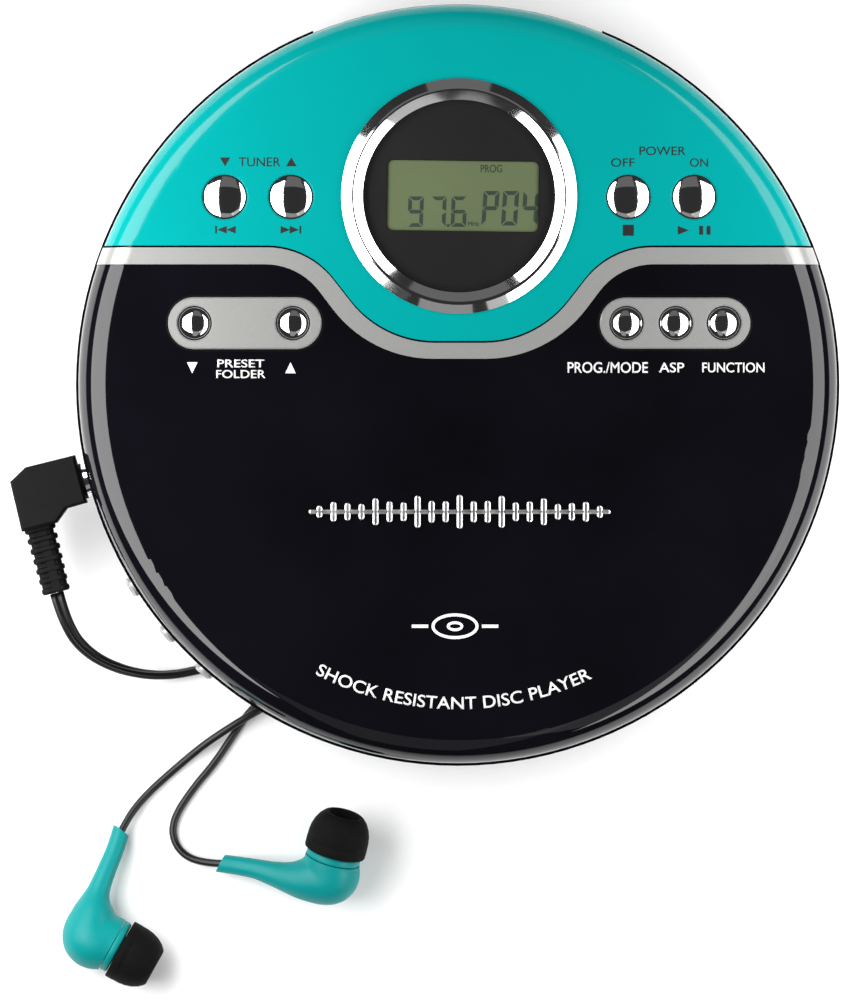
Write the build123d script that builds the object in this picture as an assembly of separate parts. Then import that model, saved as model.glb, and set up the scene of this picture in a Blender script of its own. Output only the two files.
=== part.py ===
"""Portable disc player with earphones: a round base, a hinged lid and a corded pair of earbuds.

Millimetres. X is right, Y is towards the lid hinge, Z is up. The origin is on the surface that the
feet stand on, under the middle of the player.
"""

import math
import os

from build123d import *

os.makedirs("parts", exist_ok=True)

# --- Driving sizes -------------------------------------------------------------------------------
BODY_R = 70.0  # the player is 140 mm across
WALL = 1.8
FOOT_H = 1.0
BASE_TOP = 20.8
FLAT_R = 46.0  # the flat middle of the underside
BOWL_EDGE_Z = 13.6  # where the bowl meets the upright rim
LID_R = 69.4
LID_BOTTOM = 21.0
LID_TOP = 30.6
LID_EDGE_R = 5.2  # round-over of the lid's edge
COVER_T = 1.7

DECK_TOP = 19.0
DECK_T = 1.4
WELL_R = 61.8
DECK_R = 67.9

HINGE_Y = 66.5
HINGE_Z = 18.6
KNUCKLE_R = 1.9
HINGE_PIN_R = 0.9

PANEL_Z = 23.6  # underside of the lid's inner panel
PANEL_T = 1.2
LID_BOARD_Z = 25.2
LID_BOARD_T = 1.0

RING_X, RING_Y = 0.24, 34.25
RING_R = 21.5
RING_IN_R = 17.6
RING_SPIGOT_R = 20.8
WINDOW_W, WINDOW_H = 27.8, 13.0
WINDOW_CORNER_R, WINDOW_TILT = 1.1, -0.8
LCD_X, LCD_Y = 0.95, 34.3
THROUGH_LID = (20.0, 40.0)  # heights that a cutter spans to go right through the lid

BAND_MID_X = 0.3
BAND_TOP_Y, BAND_LOW_Y = 25.23, 21.75  # straight stretches of the trim band's two edges
DIP_TOP_Y, DIP_LOW_Y = 7.8, 4.5  # bottoms of the dip round the display
BAND_GAP = 0.35  # shadow gap between the rear cover and the band

BIG_HOLE_R, BIG_CAP_R, BIG_CAP_TOP = 4.08, 3.76, 31.65
BIG_DOME_R, SMALL_DOME_R = 7.1, 4.05  # radii of the caps' domed tops
SMALL_HOLE_R, SMALL_CAP_R, SMALL_CAP_TOP = 3.15, 2.88, 31.95
CAP_LOW, FLANGE_LOW = 28.6, 28.1
GROOVE_W, GROOVE_DEPTH = 0.9, 0.3
EDGE_BEVEL = 0.25  # on the rims of the lid's holes and plates
BUTTON_Y = 34.1
BIG_BUTTONS = {
    "skip_back": (-42.56, -1),
    "skip_forward": (-30.46, -1),
    "stop": (31.16, 1),
    "play": (43.17, 1),
}
PILL_Y = 11.05
SMALL_BUTTONS = {
    "preset_down": -48.06,
    "preset_up": -30.1,
    "mode": 30.8,
    "anti_skip": 39.8,
    "function": 48.6,
}
LEFT_PILL = (-38.9, 28.05, 9.5)  # centre x, length, width
RIGHT_PILL = (39.68, 27.5, 9.35)

SIDE_BUTTON_ANGLES = {"volume_down": 212.0, "volume_up": 220.7, "bass": 228.5}
SIDE_BUTTON_Z = 17.0
PHONE_ANGLE, PHONE_Z = 194.5, 15.2
DC_ANGLE, DC_Z = 345.0, 15.0
LID_SWITCH_ANGLE = 250.0
RIBBON_X, RIBBON_RISE_Y = (30.2, 35.8), 56.7  # the ribbon's two edges, and where it goes up to the lid
RIBBON_SLOT = (RIBBON_X[0] - 0.6, RIBBON_X[1] + 0.6, RIBBON_RISE_Y - 0.8, RIBBON_RISE_Y + 0.7)

CELL_R, CELL_L = 7.25, 50.5
CELL_Z = 10.2
CELL_YS = (18.5, 33.5)
DOOR_X = 27.8
DOOR_HINGE_Y, DOOR_HINGE_Z, DOOR_KNUCKLE_R = 11.2, 2.75, 1.75
DOOR_Y1 = 41.85
CELL_WALL_X, CELL_WALL_END = 28.0, 29.2  # inner and outer faces of the bay's end walls

FRAME_Z, FRAME_T = 9.4, 1.0
ROD_X, ROD_R, ROD_Z = 13.0, 1.2, 13.4
LENS_Y = -24.0
SLED_X = 16.0
RACK_X = 17.8  # pitch line
GEAR_MODULE = 0.5
RACK_GEAR_TEETH, WHEEL_TEETH, PINION_TEETH = 16, 20, 6
GEAR_Y = -26.0
FOOT_POINTS = ((-30.0, -24.0), (30.0, -24.0), (-33.5, 25.5), (33.5, 25.5))
TOWER_POINTS = ((-42.0, 4.0), (42.0, 4.0), (-30.0, -42.0), (30.0, -42.0))
DAMPER_POINTS = ((-15.0, 5.0), (26.0, -8.0), (-10.0, -42.0))
LID_SCREW_POINTS = ((-22.0, 58.0), (22.0, 58.0), (-60.0, -6.0), (60.0, -6.0), (-38.0, -49.0), (38.0, -49.0))

CORD_D = 2.0  # twin lead, mean of its two widths
LEAD_D = 1.4


# --- Plain shapes --------------------------------------------------------------------------------
def box(x0, x1, y0, y1, z0, z1):
    return Pos((x0 + x1) / 2, (y0 + y1) / 2, (z0 + z1) / 2) * Box(x1 - x0, y1 - y0, z1 - z0)


def post(r, z0, z1, x=0.0, y=0.0):
    return Pos(x, y, (z0 + z1) / 2) * Cylinder(r, z1 - z0)


def bar_x(r, x0, x1, y, z):
    return Pos((x0 + x1) / 2, y, z) * Rot(0, 90, 0) * Cylinder(r, x1 - x0)


def bar_y(r, y0, y1, x, z):
    return Pos(x, (y0 + y1) / 2, z) * Rot(90, 0, 0) * Cylinder(r, y1 - y0)


def turned(points):
    """Solid of revolution about Z of an outline of (radius, height) points."""
    outline = Polyline(*[(r, 0, z) for r, z in points], close=True)
    return revolve(make_face(outline), Axis.Z)


def at_angle(angle, shape):
    """Turns a shape that was built along +X to an angle round the player."""
    return Rot(0, 0, angle) * shape


def polar(r, angle, z=0.0):
    return (r * math.cos(math.radians(angle)), r * math.sin(math.radians(angle)), z)


def save(shape, name):
    solids = shape.solids()
    result = solids[0] if len(solids) == 1 else Compound(children=list(solids))
    export_step(result, f"parts/{name}.step")
    print(f"{name}: {len(solids)} solids, {sum(s.volume for s in solids):.1f} mm3")


# --- Shared envelopes ----------------------------------------------------------------------------
def bowl(inset):
    """The base's outer shape, or its inner shape when inset by the wall."""
    slope = math.atan2(BOWL_EDGE_Z - FOOT_H, BODY_R - FLAT_R)
    rise = inset / math.cos(slope)
    r = BODY_R - inset
    floor = FOOT_H + inset
    flat = FLAT_R - (rise - inset) / math.tan(slope)
    edge = FOOT_H + rise + (r - FLAT_R) * math.tan(slope)
    corners = [(0, 0, floor), (flat, 0, floor), (r, 0, edge), (r, 0, BASE_TOP)]
    side = FilletPolyline(*corners, radius=3 - inset / 2)
    rest = Polyline((r, 0, BASE_TOP), (0, 0, BASE_TOP), (0, 0, floor))
    return revolve(make_face([side, rest]), Axis.Z)


def lid_form(outset):
    """The lid's outer shape, grown or shrunk by outset."""
    corner_r = LID_EDGE_R + outset
    arc_x, arc_z = LID_R - LID_EDGE_R, LID_TOP - LID_EDGE_R
    low, side = (0, 0, LID_BOTTOM), (LID_R + outset, 0, LID_BOTTOM)
    side_top, top_edge = (LID_R + outset, 0, arc_z), (arc_x, 0, LID_TOP + outset)
    half = math.sqrt(0.5) * corner_r
    outline = [
        Polyline(low, side, side_top),
        ThreePointArc(side_top, (arc_x + half, 0, arc_z + half), top_edge),
        Polyline(top_edge, (0, 0, LID_TOP + outset), low),
    ]
    return revolve(make_face(outline), Axis.Z)


def band_edge(flat_y, dip_y, foot_x, shoulder_x, shoulder_r, foot_r, shift=0.0):
    """Everything behind one edge of the trim band, as a tall prism."""
    reach = 90.0
    corners = [
        (-reach, flat_y + shift),
        (BAND_MID_X - shoulder_x, flat_y + shift),
        (BAND_MID_X - foot_x, dip_y + shift),
        (BAND_MID_X + foot_x, dip_y + shift),
        (BAND_MID_X + shoulder_x, flat_y + shift),
        (reach, flat_y + shift),
    ]
    edge = FilletPolyline(*corners, radius=[shoulder_r, foot_r, foot_r, shoulder_r])
    back = Polyline((reach, flat_y + shift), (reach, reach), (-reach, reach), (-reach, flat_y + shift))
    return Pos(0, 0, LID_BOTTOM - 1) * extrude(make_face([edge, back]), amount=14)


def behind_upper(shift=0.0):
    return band_edge(BAND_TOP_Y, DIP_TOP_Y, 14.05, 27.6, 15.4, 19.5, shift)


def behind_lower(shift=0.0):
    return band_edge(BAND_LOW_Y, DIP_LOW_Y, 16.3, 29.3, 12.4, 23.0, shift)


# --- Base ----------------------------------------------------------------------------------------
def jack_pad(angle, z_low, half_width):
    """A local thickening of the rim that carries a round socket."""
    pad = at_angle(angle, box(62, 72, -half_width, half_width, z_low, BASE_TOP - 0.6))
    return (pad & post(BODY_R - 0.05, 0, 30)) - post(BODY_R - WALL - 0.15, z_low + 0.9, 30)


def make_base_shell():
    outside, inside = bowl(0), bowl(WALL)
    shell = outside - inside
    shell -= box(-CELL_WALL_X, CELL_WALL_X, DOOR_HINGE_Y - DOOR_KNUCKLE_R - 0.15, DOOR_Y1 + 0.3, 0, 7.5)
    wall_top = 17.3
    front_y = DOOR_HINGE_Y - DOOR_KNUCKLE_R - 0.15
    walls = box(-CELL_WALL_END, CELL_WALL_END, 10.15, 10.95, 4.9, wall_top)
    walls += box(-CELL_WALL_END, CELL_WALL_END, 42.3, 43.3, 1, wall_top)
    for side in (-1, 1):
        near, far = sorted((side * CELL_WALL_X, side * CELL_WALL_END))
        walls += box(near, far, front_y, 43.3, 1, wall_top)
    pocket = box(-27.7, 27.7, 62.0, 75, 13.2, BASE_TOP)
    shell += (walls + pocket) & outside
    shell += jack_pad(PHONE_ANGLE, 11.3, 5.5)
    shell += jack_pad(DC_ANGLE, 10.9, 5.5)
    shell -= box(-26.5, 26.5, 63.2, 75, 14.5, 25)
    for side in (-1, 1):
        near, far = sorted((side * 6.0, side * 9.0))
        lug = box(near, far, HINGE_Y - KNUCKLE_R, HINGE_Y + KNUCKLE_R, 14.0, HINGE_Z)
        lug += bar_x(KNUCKLE_R, near, far, HINGE_Y, HINGE_Z)
        shell += lug - bar_x(HINGE_PIN_R + 0.01, near - 1, far + 1, HINGE_Y, HINGE_Z)
    for x, y in TOWER_POINTS:
        shell += post(3.4, 1, 8.0, x, y) & outside
        shell -= post(2.7, 0, 5.8, x, y)
        shell -= post(1.25, 0, 9, x, y)
    for x, y in DAMPER_POINTS:
        shell += post(3.4, 2.5, 4.0, x, y)
        shell += post(2.2, 2.5, 7.0, x, y)
    for side in (-1, 1):
        near, far = sorted((side * 6.0, side * 8.0))
        shell += box(near, far, -64.4, -63.6, 10, 17.3) & outside
    shell -= at_angle(PHONE_ANGLE, bar_x(3.05, 62.5, 73, 0, PHONE_Z))
    shell -= at_angle(PHONE_ANGLE, box(50, 65, -3.8, 3.8, 12.7, BASE_TOP + 1))
    shell -= at_angle(DC_ANGLE, bar_x(3.3, 61.5, 73, 0, DC_Z))
    shell -= at_angle(DC_ANGLE, box(50, 62.8, -4.2, 4.2, 11.75, BASE_TOP + 1))
    for angle in SIDE_BUTTON_ANGLES.values():
        shell -= at_angle(angle, bar_x(2.15, 66, 73, 0, SIDE_BUTTON_Z))
        shell -= at_angle(angle, bar_x(2.7, 62, BODY_R - WALL + 0.2, 0, SIDE_BUTTON_Z))
    shell -= box(-7.0, 7.0, -72, -66, 15.0, 19.0)
    for side in (-1, 1):
        near, far = sorted((side * (DOOR_X - 0.5), side * (CELL_WALL_END + 0.1)))
        shell -= bar_x(0.86, near, far, DOOR_HINGE_Y, DOOR_HINGE_Z)
    return shell


def make_battery_door():
    skin = bowl(0) - bowl(WALL)
    door = skin & box(-DOOR_X, DOOR_X, DOOR_HINGE_Y, DOOR_Y1, 0.5, 9)
    door += bar_x(DOOR_KNUCKLE_R, -DOOR_X, DOOR_X, DOOR_HINGE_Y, DOOR_HINGE_Z)
    door += bar_x(0.8, 0.2 - CELL_WALL_END, CELL_WALL_END - 0.2, DOOR_HINGE_Y, DOOR_HINGE_Z)
    for row in range(3):
        groove_y = 35.0 + 1.6 * row
        door -= box(-6, 6, groove_y, groove_y + 0.8, 0.5, 1.35)
    return door


def make_deck_plate():
    deck = post(DECK_R, DECK_TOP - DECK_T, BASE_TOP)
    deck -= post(WELL_R, DECK_TOP, BASE_TOP + 1)
    deck -= post(DECK_R + 1, 17, 19.6) - post(63.3, 17, 19.6)
    deck -= post(17.0, 17, 20)
    deck -= box(-8.5, 8.5, -60.3, 0, 17, 20)
    for x, y in TOWER_POINTS:
        deck += post(3.0, 8.02, DECK_TOP - DECK_T, x, y) - post(1.12, 7, 17, x, y)
    for side in (-1, 1):
        near, far = sorted((side * 10.9, side * 15.1))
        holder = box(near, far, -60.3, -58.5, 11.95, DECK_TOP - DECK_T)
        deck += holder - bar_y(ROD_R + 0.01, -61, -58, side * ROD_X, ROD_Z)
    deck -= box(-28.1, 28.1, WELL_R - 0.1, 75, 15, 25)
    deck -= box(*RIBBON_SLOT, 15, 25)
    deck -= box(-3.8, 3.8, -66.3, -63.32, 15, 25)
    deck -= at_angle(LID_SWITCH_ANGLE, post(1.1, 15, 25, 65.4, 0))
    deck -= at_angle(DC_ANGLE, box(61, 64, -3.5, 3.5, 17, 18.4))
    return deck


def make_feet():
    feet = [post(3.2, 0, FOOT_H, x, y) for x, y in FOOT_POINTS]
    return Compound(children=[chamfer(foot.edges().sort_by(Axis.Z)[:1], 0.3) for foot in feet])


def make_screw(x, y, head_z, head_r, shank_r, tip_z):
    """A cross-head screw that points up, its head at head_z."""
    head = post(head_r, head_z, head_z + 1.1, x, y)
    slots = box(x - 1.2, x + 1.2, y - 0.25, y + 0.25, head_z - 1, head_z + 0.6)
    slots += box(x - 0.25, x + 0.25, y - 1.2, y + 1.2, head_z - 1, head_z + 0.6)
    return head + post(shank_r, head_z + 1, tip_z, x, y) - slots


def make_case_screws():
    return Compound(children=[make_screw(x, y, 4.7, 2.3, 1.1, 15.0) for x, y in TOWER_POINTS])


# --- Power ---------------------------------------------------------------------------------------
def make_cells():
    cells = []
    for row, y in enumerate(CELL_YS):
        way = 1 if row == 0 else -1
        middle = way * (27.2 - CELL_L / 2)
        can = bar_x(CELL_R, middle - CELL_L / 2 + 1.4, middle + CELL_L / 2 - 1.4, y, CELL_Z)
        nub_at = middle + way * (CELL_L / 2 - 0.7)
        base_at = middle - way * (CELL_L / 2 - 0.7)
        can += bar_x(2.7, nub_at - 0.7, nub_at + 0.7, y, CELL_Z)
        can += bar_x(6.0, base_at - 0.7, base_at + 0.7, y, CELL_Z)
        cells.append(can)
    return Compound(children=cells)


def make_contacts():
    contacts = []
    spring_l = 3.7
    for row, y in enumerate(CELL_YS):
        way = 1 if row == 0 else -1
        contacts.append(Pos(way * 27.4, y, CELL_Z) * Box(0.4, 11, 11))
        coil = Helix(pitch=1.25, height=spring_l - 0.7, radius=3.6, cone_angle=8)
        start = Plane(origin=coil @ 0, z_dir=coil % 0)
        wire = sweep(start * Circle(0.35), path=coil)
        spring = Pos(-way * 27.2, y, CELL_Z) * Rot(0, way * 90, 0) * Pos(0, 0, 0.35) * wire
        contacts.append(Pos(-way * 27.4, y, CELL_Z) * Box(0.4, 11, 11))
        contacts.append(spring)
    return Compound(children=[s for c in contacts for s in c.solids()])


def make_main_board():
    board = box(-36, 36, -44, 8.2, 4.02, 5.0) & post(44.0, 0, 20)
    for x, y in DAMPER_POINTS:
        board -= post(2.4, 3, 8, x, y)
    for x, y in TOWER_POINTS:
        board -= post(3.9, 3, 8, x, y)
    for chip in make_board_chips():
        board += chip
    return board


def make_board_chips():
    """Chips, each (x, y, width, depth, height), and four round capacitors."""
    places = [(-14, -18, 14, 14, 1.2), (9, -33, 9, 11, 1.2), (-26, -28, 8, 6, 1.4)]
    places += [(6, -12, 6, 6, 1.2), (28, 0.5, 5, 6, 2.2)]
    chips = [Pos(x, y, 5.0 + h / 2) * Box(w, d, h) for x, y, w, d, h in places]
    for x, y in ((-31, -6), (-31, 0), (-25, -8), (0, 3)):
        chips.append(post(2.3, 5.0, 8.6, x, y))
    return chips


def make_headphone_jack():
    jack = box(55.0, 64.5, -3.6, 3.6, 12.9, 17.4)
    jack += bar_x(2.9, 64.4, 70.4, 0, PHONE_Z)
    jack -= bar_x(1.83, 56.0, 71, 0, PHONE_Z)
    return at_angle(PHONE_ANGLE, jack)


def make_dc_jack():
    jack = box(54.0, 62.6, -4.0, 4.0, 11.95, 17.4)
    jack += bar_x(3.1, 62.5, 69.8, 0, DC_Z)
    jack -= bar_x(2.4, 58.5, 71, 0, DC_Z)
    jack += bar_x(0.65, 58.4, 68.5, 0, DC_Z)
    return at_angle(DC_ANGLE, jack)


def make_side_switches():
    lowest, highest = 208.0, 232.5
    strip = post(64.0, 14.9, 19.2) - post(63.6, 14, 20)
    wedge = [(0, 0), polar(90, lowest)[:2], polar(90, highest)[:2]]
    strip = strip & Pos(0, 0, 14) * extrude(make_face(Polyline(*wedge, close=True)), amount=7)
    for angle in SIDE_BUTTON_ANGLES.values():
        switch = box(63.8, 65.0, -2.2, 2.2, 15.3, 18.7)
        switch += bar_x(0.9, 65.0, 65.35, 0, SIDE_BUTTON_Z)
        strip += at_angle(angle, switch)
    return strip


def make_lid_switch():
    switch = box(64.0, 66.6, -3.0, 3.0, 15.8, 19.4)
    switch += post(0.8, 19.4, 23.3, 65.4, 0)
    return at_angle(LID_SWITCH_ANGLE, switch)


# --- Drive ---------------------------------------------------------------------------------------
def gear_axis():
    return RACK_X + GEAR_MODULE * RACK_GEAR_TEETH / 2


def pinion_axis():
    span = GEAR_MODULE * (WHEEL_TEETH + PINION_TEETH) / 2
    turn = 2 * (360 / WHEEL_TEETH)
    return gear_axis() + span * math.cos(math.radians(-turn)), GEAR_Y + span * math.sin(math.radians(-turn))


def toothed_wheel(teeth, z0, z1, phase=0.0):
    """A spur gear with slim straight teeth, one of them pointing along the phase angle."""
    pitch_r = GEAR_MODULE * teeth / 2
    root_r = pitch_r - 0.35
    wheel = post(root_r, z0, z1)
    for k in range(teeth):
        tooth = box(root_r - 0.3, pitch_r + 0.22, -0.22, 0.22, z0, z1)
        wheel += at_angle(phase + 360 * k / teeth, tooth)
    return wheel


def make_mech_frame():
    top = FRAME_Z + FRAME_T
    frame = box(-20, 33, -46, -2, FRAME_Z, top) + box(-20, 28, -2.1, 9.4, FRAME_Z, top)
    frame = frame & post(47.5, 0, 20)
    frame -= box(-9, 9, -38, -14, 0, 20)
    for side in (-1, 1):
        near, far = sorted((side * 11.2, side * 14.8))
        holder = box(near, far, -9.0, -6.6, FRAME_Z, 15.2)
        frame += holder - bar_y(ROD_R + 0.01, -10, -7.2, side * ROD_X, ROD_Z)
    motor_x, motor_y = pinion_axis()
    frame -= post(0.95, 0, 20, motor_x, motor_y)
    frame += post(0.8, top - 0.2, 15.7, gear_axis(), GEAR_Y)
    return frame


def make_dampers():
    dampers = []
    for x, y in DAMPER_POINTS:
        dampers.append(post(3.0, 7.0, 9.4, x, y) - (post(3.5, 7.9, 8.5, x, y) - post(2.4, 7.9, 8.5, x, y)))
    return Compound(children=dampers)


def make_spindle_motor():
    can = post(10.0, FRAME_Z + FRAME_T, 17.0)
    can = fillet(can.edges().sort_by(Axis.Z)[-1:], 0.8)
    return can - post(0.86, 11.6, 18)


def make_sled_motor():
    x, y = pinion_axis()
    return post(4.5, 5.4, FRAME_Z, x, y) - post(0.66, 6.0, 10, x, y)


def make_motor_pinion():
    x, y = pinion_axis()
    line = -2 * (360 / WHEEL_TEETH)
    pinion = toothed_wheel(PINION_TEETH, 14.1, 15.5, line + 180 + 180 / PINION_TEETH)
    return Pos(x, y, 0) * (pinion + post(0.6, 6.2, 15.6))


def make_sled_gear():
    wheel = toothed_wheel(RACK_GEAR_TEETH, 11.9, 13.5, 180.0) + post(2.6, 13.4, 14.3)
    wheel += toothed_wheel(WHEEL_TEETH, 14.2, 15.4)
    wheel -= post(0.85, 10, 17)
    return Pos(gear_axis(), GEAR_Y, 0) * wheel


def make_guide_rods():
    return Compound(children=[bar_y(ROD_R, -60.2, -7.3, side * ROD_X, ROD_Z) for side in (-1, 1)])


def make_sled():
    back_y, front_y = LENS_Y + 13, LENS_Y - 3
    sled = box(-SLED_X, SLED_X, front_y, back_y, 11.6, 16.6)
    sled += box(-7, 7, front_y - 1.4, front_y + 1, 11.6, 16.6)
    sled += box(-6, 6, LENS_Y - 4.3, LENS_Y + 4.4, 16.5, 18.0)
    sled -= post(2.45, 16.8, 19, 0, LENS_Y)
    sled += box(SLED_X - 0.5, RACK_X - 0.35, front_y, 6.0, 11.8, 13.6)
    tooth_pitch = math.pi * GEAR_MODULE
    first = math.ceil((front_y + 0.4 - GEAR_Y) / tooth_pitch - 0.5)
    last = math.floor((6.0 - 0.4 - GEAR_Y) / tooth_pitch - 0.5)
    for k in range(first, last + 1):
        y = GEAR_Y + (k + 0.5) * tooth_pitch
        sled += box(RACK_X - 0.5, RACK_X + 0.22, y - 0.22, y + 0.22, 11.8, 13.6)
    for side in (-1, 1):
        sled -= bar_y(ROD_R + 0.06, front_y - 5, back_y + 5, side * ROD_X, ROD_Z)
    sled -= box(-9, 9, back_y - 5, back_y + 1, 11, 14.2)
    return sled


def make_lens():
    holder = post(2.1, 17.2, 18.2, 0, LENS_Y)
    glass = Pos(0, LENS_Y, 18.2 - 2.2) * Sphere(2.9) & post(1.7, 18.1, 19, 0, LENS_Y)
    return holder + glass


def make_turntable():
    platter = turned([(0, 19.0), (5, 19.0), (5, 19.3), (15, 19.3), (15, 20.6), (14.7, 20.9), (0, 20.9)])
    hub = turned([(0, 20.8), (7.4, 20.8), (7.4, 22.6), (6.7, 23.2), (2.4, 23.2), (2.4, 22.4), (0, 22.4)])
    table = platter + hub + post(0.8, 12.2, 19.2) + post(4.0, 17.3, 19.2)
    for ball in hub_balls(0.02):
        table -= ball
    return Compound(children=[table.solids()[0], *hub_balls()])


def hub_balls(play=0.0):
    return [Pos(*polar(6.55, 90 + 120 * k, 22.0)) * Sphere(0.8 + play) for k in range(3)]


# --- Release button ------------------------------------------------------------------------------
def make_open_button():
    button = box(-6.7, 6.7, -72, -66.6, 15.3, 18.7) & post(BODY_R - 0.1, 0, 30)
    button += box(-8.0, 8.0, -67.5, -66.5, 15.3, 18.7)
    for side in (-1, 1):
        near, far = sorted((side * 4.2, side * 5.4))
        button += box(near, far, -66.6, -62.0, 15.95, 17.2)
    button += box(-5.4, 5.4, -63.2, -62.0, 15.95, 17.2)
    return button


def make_latch_spring():
    springs = []
    for side in (-1, 1):
        coil = Helix(pitch=0.6, height=1.7, radius=0.75)
        wire = sweep(Plane(origin=coil @ 0, z_dir=coil % 0) * Circle(0.14), path=coil)
        springs.append(Pos(side * 7.0, -64.6, 16.6) * Rot(90, 0, 0) * wire)
    return Compound(children=[s for c in springs for s in c.solids()])


def make_side_button(angle):
    cap = bar_x(1.9, 67.5, 71.0, 0, SIDE_BUTTON_Z)
    cap = chamfer(cap.edges().sort_by(Axis.X)[-1:], 0.5)
    cap += bar_x(2.4, 67.0, 67.6, 0, SIDE_BUTTON_Z)
    cap += bar_x(1.2, 66.2, 67.1, 0, SIDE_BUTTON_Z)
    return at_angle(angle, cap)


# --- Lid -----------------------------------------------------------------------------------------
def lid_boss(x, y):
    return post(2.3, PANEL_Z + PANEL_T, LID_TOP - COVER_T + 0.1, x, y) - post(0.95, 24, 28, x, y)


def make_rear_cover():
    cover = (lid_form(0) - lid_form(-COVER_T)) & behind_upper()
    cover -= post(RING_SPIGOT_R + 0.1, *THROUGH_LID, RING_X, RING_Y)
    for x, _ in BIG_BUTTONS.values():
        cover -= post(BIG_HOLE_R, *THROUGH_LID, x, BUTTON_Y)
        bevel = Cone(BIG_HOLE_R, BIG_HOLE_R + 2 * EDGE_BEVEL, 2 * EDGE_BEVEL)
        cover -= Pos(x, BUTTON_Y, LID_TOP) * bevel
    for x, y in LID_SCREW_POINTS:
        if y > BAND_TOP_Y:
            cover += lid_boss(x, y)
    return cover


def make_front_cover():
    front = (lid_form(0) - lid_form(-COVER_T)) - behind_lower()
    shelf = (lid_form(-1.1) - lid_form(-COVER_T)) & behind_lower(-0.1)
    cover = front + (shelf - behind_upper(-0.05))
    for x, length, width in (LEFT_PILL, RIGHT_PILL):
        slot = SlotOverall(length + 0.2, width + 0.2)
        recess = Pos(x, PILL_Y, 29.95) * extrude(slot, amount=2)
        step = Pos(x, PILL_Y, LID_TOP - 0.3) * extrude(slot, amount=0.8, taper=-45)
        cover -= recess + step
    for x in SMALL_BUTTONS.values():
        cover -= post(SMALL_HOLE_R + 0.15, *THROUGH_LID, x, PILL_Y)
    for x, y in LID_SCREW_POINTS:
        if y < BAND_TOP_Y:
            cover += lid_boss(x, y)
    return cover


def make_trim_band():
    return (lid_form(0.15) - lid_form(-1.08)) & (behind_lower(0.05) - behind_upper(-BAND_GAP))


def make_pill(pill):
    x, length, width = pill
    plate = Pos(x, PILL_Y, 29.96) * extrude(SlotOverall(length, width), amount=0.94)
    for button_x in SMALL_BUTTONS.values():
        plate -= post(SMALL_HOLE_R, *THROUGH_LID, button_x, PILL_Y)
    return chamfer(plate.edges().group_by(Axis.Z)[-1], EDGE_BEVEL)


def make_display_ring():
    low = LID_TOP - COVER_T
    inner, spigot, outer = RING_IN_R, RING_SPIGOT_R, RING_R
    outline = [(inner, low), (spigot, low), (spigot, 30.62), (outer, 30.62), (outer, 30.95), (19.9, 31.9)]
    outline += [(19.6, 32.0), (19.3, 31.9), (inner, 31.0)]
    return Pos(RING_X, RING_Y, 0) * turned(outline)


def window_block(inset, height):
    """A round-cornered block the size of the display's window, turned a little as the window is."""
    block = Box(WINDOW_W - 2 * inset, WINDOW_H - 2 * inset, height)
    return Rot(0, 0, WINDOW_TILT) * fillet(block.edges().filter_by(Axis.Z), WINDOW_CORNER_R - inset)


def make_display_window():
    lens = post(RING_IN_R - 0.05, 29.0, 29.9, RING_X, RING_Y)
    return lens - Pos(LCD_X, LCD_Y, 29.5) * window_block(0, 3)


def make_lcd():
    body = Pos(LCD_X, LCD_Y, 27.5) * Box(33.0, 19.0, 2.4)
    return body + Pos(LCD_X, LCD_Y, 29.05) * window_block(0.1, 0.9)


def make_inner_panel():
    panel = post(66.8, PANEL_Z, PANEL_Z + PANEL_T)
    for side in (-1, 1):
        near, far = sorted((side * 9.3, side * 13.0))
        arm = box(near, far, HINGE_Y - KNUCKLE_R, HINGE_Y - 0.1, HINGE_Z, PANEL_Z + 0.5)
        arm += bar_x(KNUCKLE_R, near, far, HINGE_Y, HINGE_Z)
        panel += arm - bar_x(HINGE_PIN_R + 0.05, near - 1, far + 1, HINGE_Y, HINGE_Z)
    panel += box(-3.0, 3.0, -65.1, -64.2, 14.6, PANEL_Z + 0.5)
    panel += box(-3.0, 3.0, -64.3, -63.4, 14.6, 15.8)
    panel -= box(*RIBBON_SLOT, 22, 26)
    for x, y in LID_SCREW_POINTS:
        panel -= post(2.15, 22, PANEL_Z + 0.6, x, y)
        panel -= post(1.1, 22, 26, x, y)
    return panel


def make_lid_screws():
    screws = []
    for x, y in LID_SCREW_POINTS:
        head = post(2.0, PANEL_Z + 0.05, PANEL_Z + 0.6, x, y)
        head -= box(x - 1.1, x + 1.1, y - 0.25, y + 0.25, PANEL_Z, PANEL_Z + 0.3)
        screws.append(head + post(0.94, PANEL_Z + 0.5, 27.8, x, y))
    return Compound(children=screws)


def make_lid_board():
    board_top = LID_BOARD_Z + LID_BOARD_T
    board = box(-56, 56, 3.5, 46, LID_BOARD_Z, board_top) & post(62, 0, 40)
    centres = [(x, BUTTON_Y) for x, _ in BIG_BUTTONS.values()]
    centres += [(x, PILL_Y) for x in SMALL_BUTTONS.values()]
    for x, y in centres:
        board += Pos(x, y, board_top + 0.6) * Box(5.2, 5.2, 1.2) + post(1.2, board_top + 1.1, 27.65, x, y)
    return board


def domed_cap(r, top, dome_r, flange):
    """A push button: a domed cap on a flange that holds it in the lid."""
    cap = post(r, CAP_LOW, top) & Pos(0, 0, top - dome_r) * Sphere(dome_r)
    cap += post(r + flange, FLANGE_LOW, CAP_LOW + 0.1)
    return cap - post(1.9, FLANGE_LOW - 0.1, FLANGE_LOW + 0.35)


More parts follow.
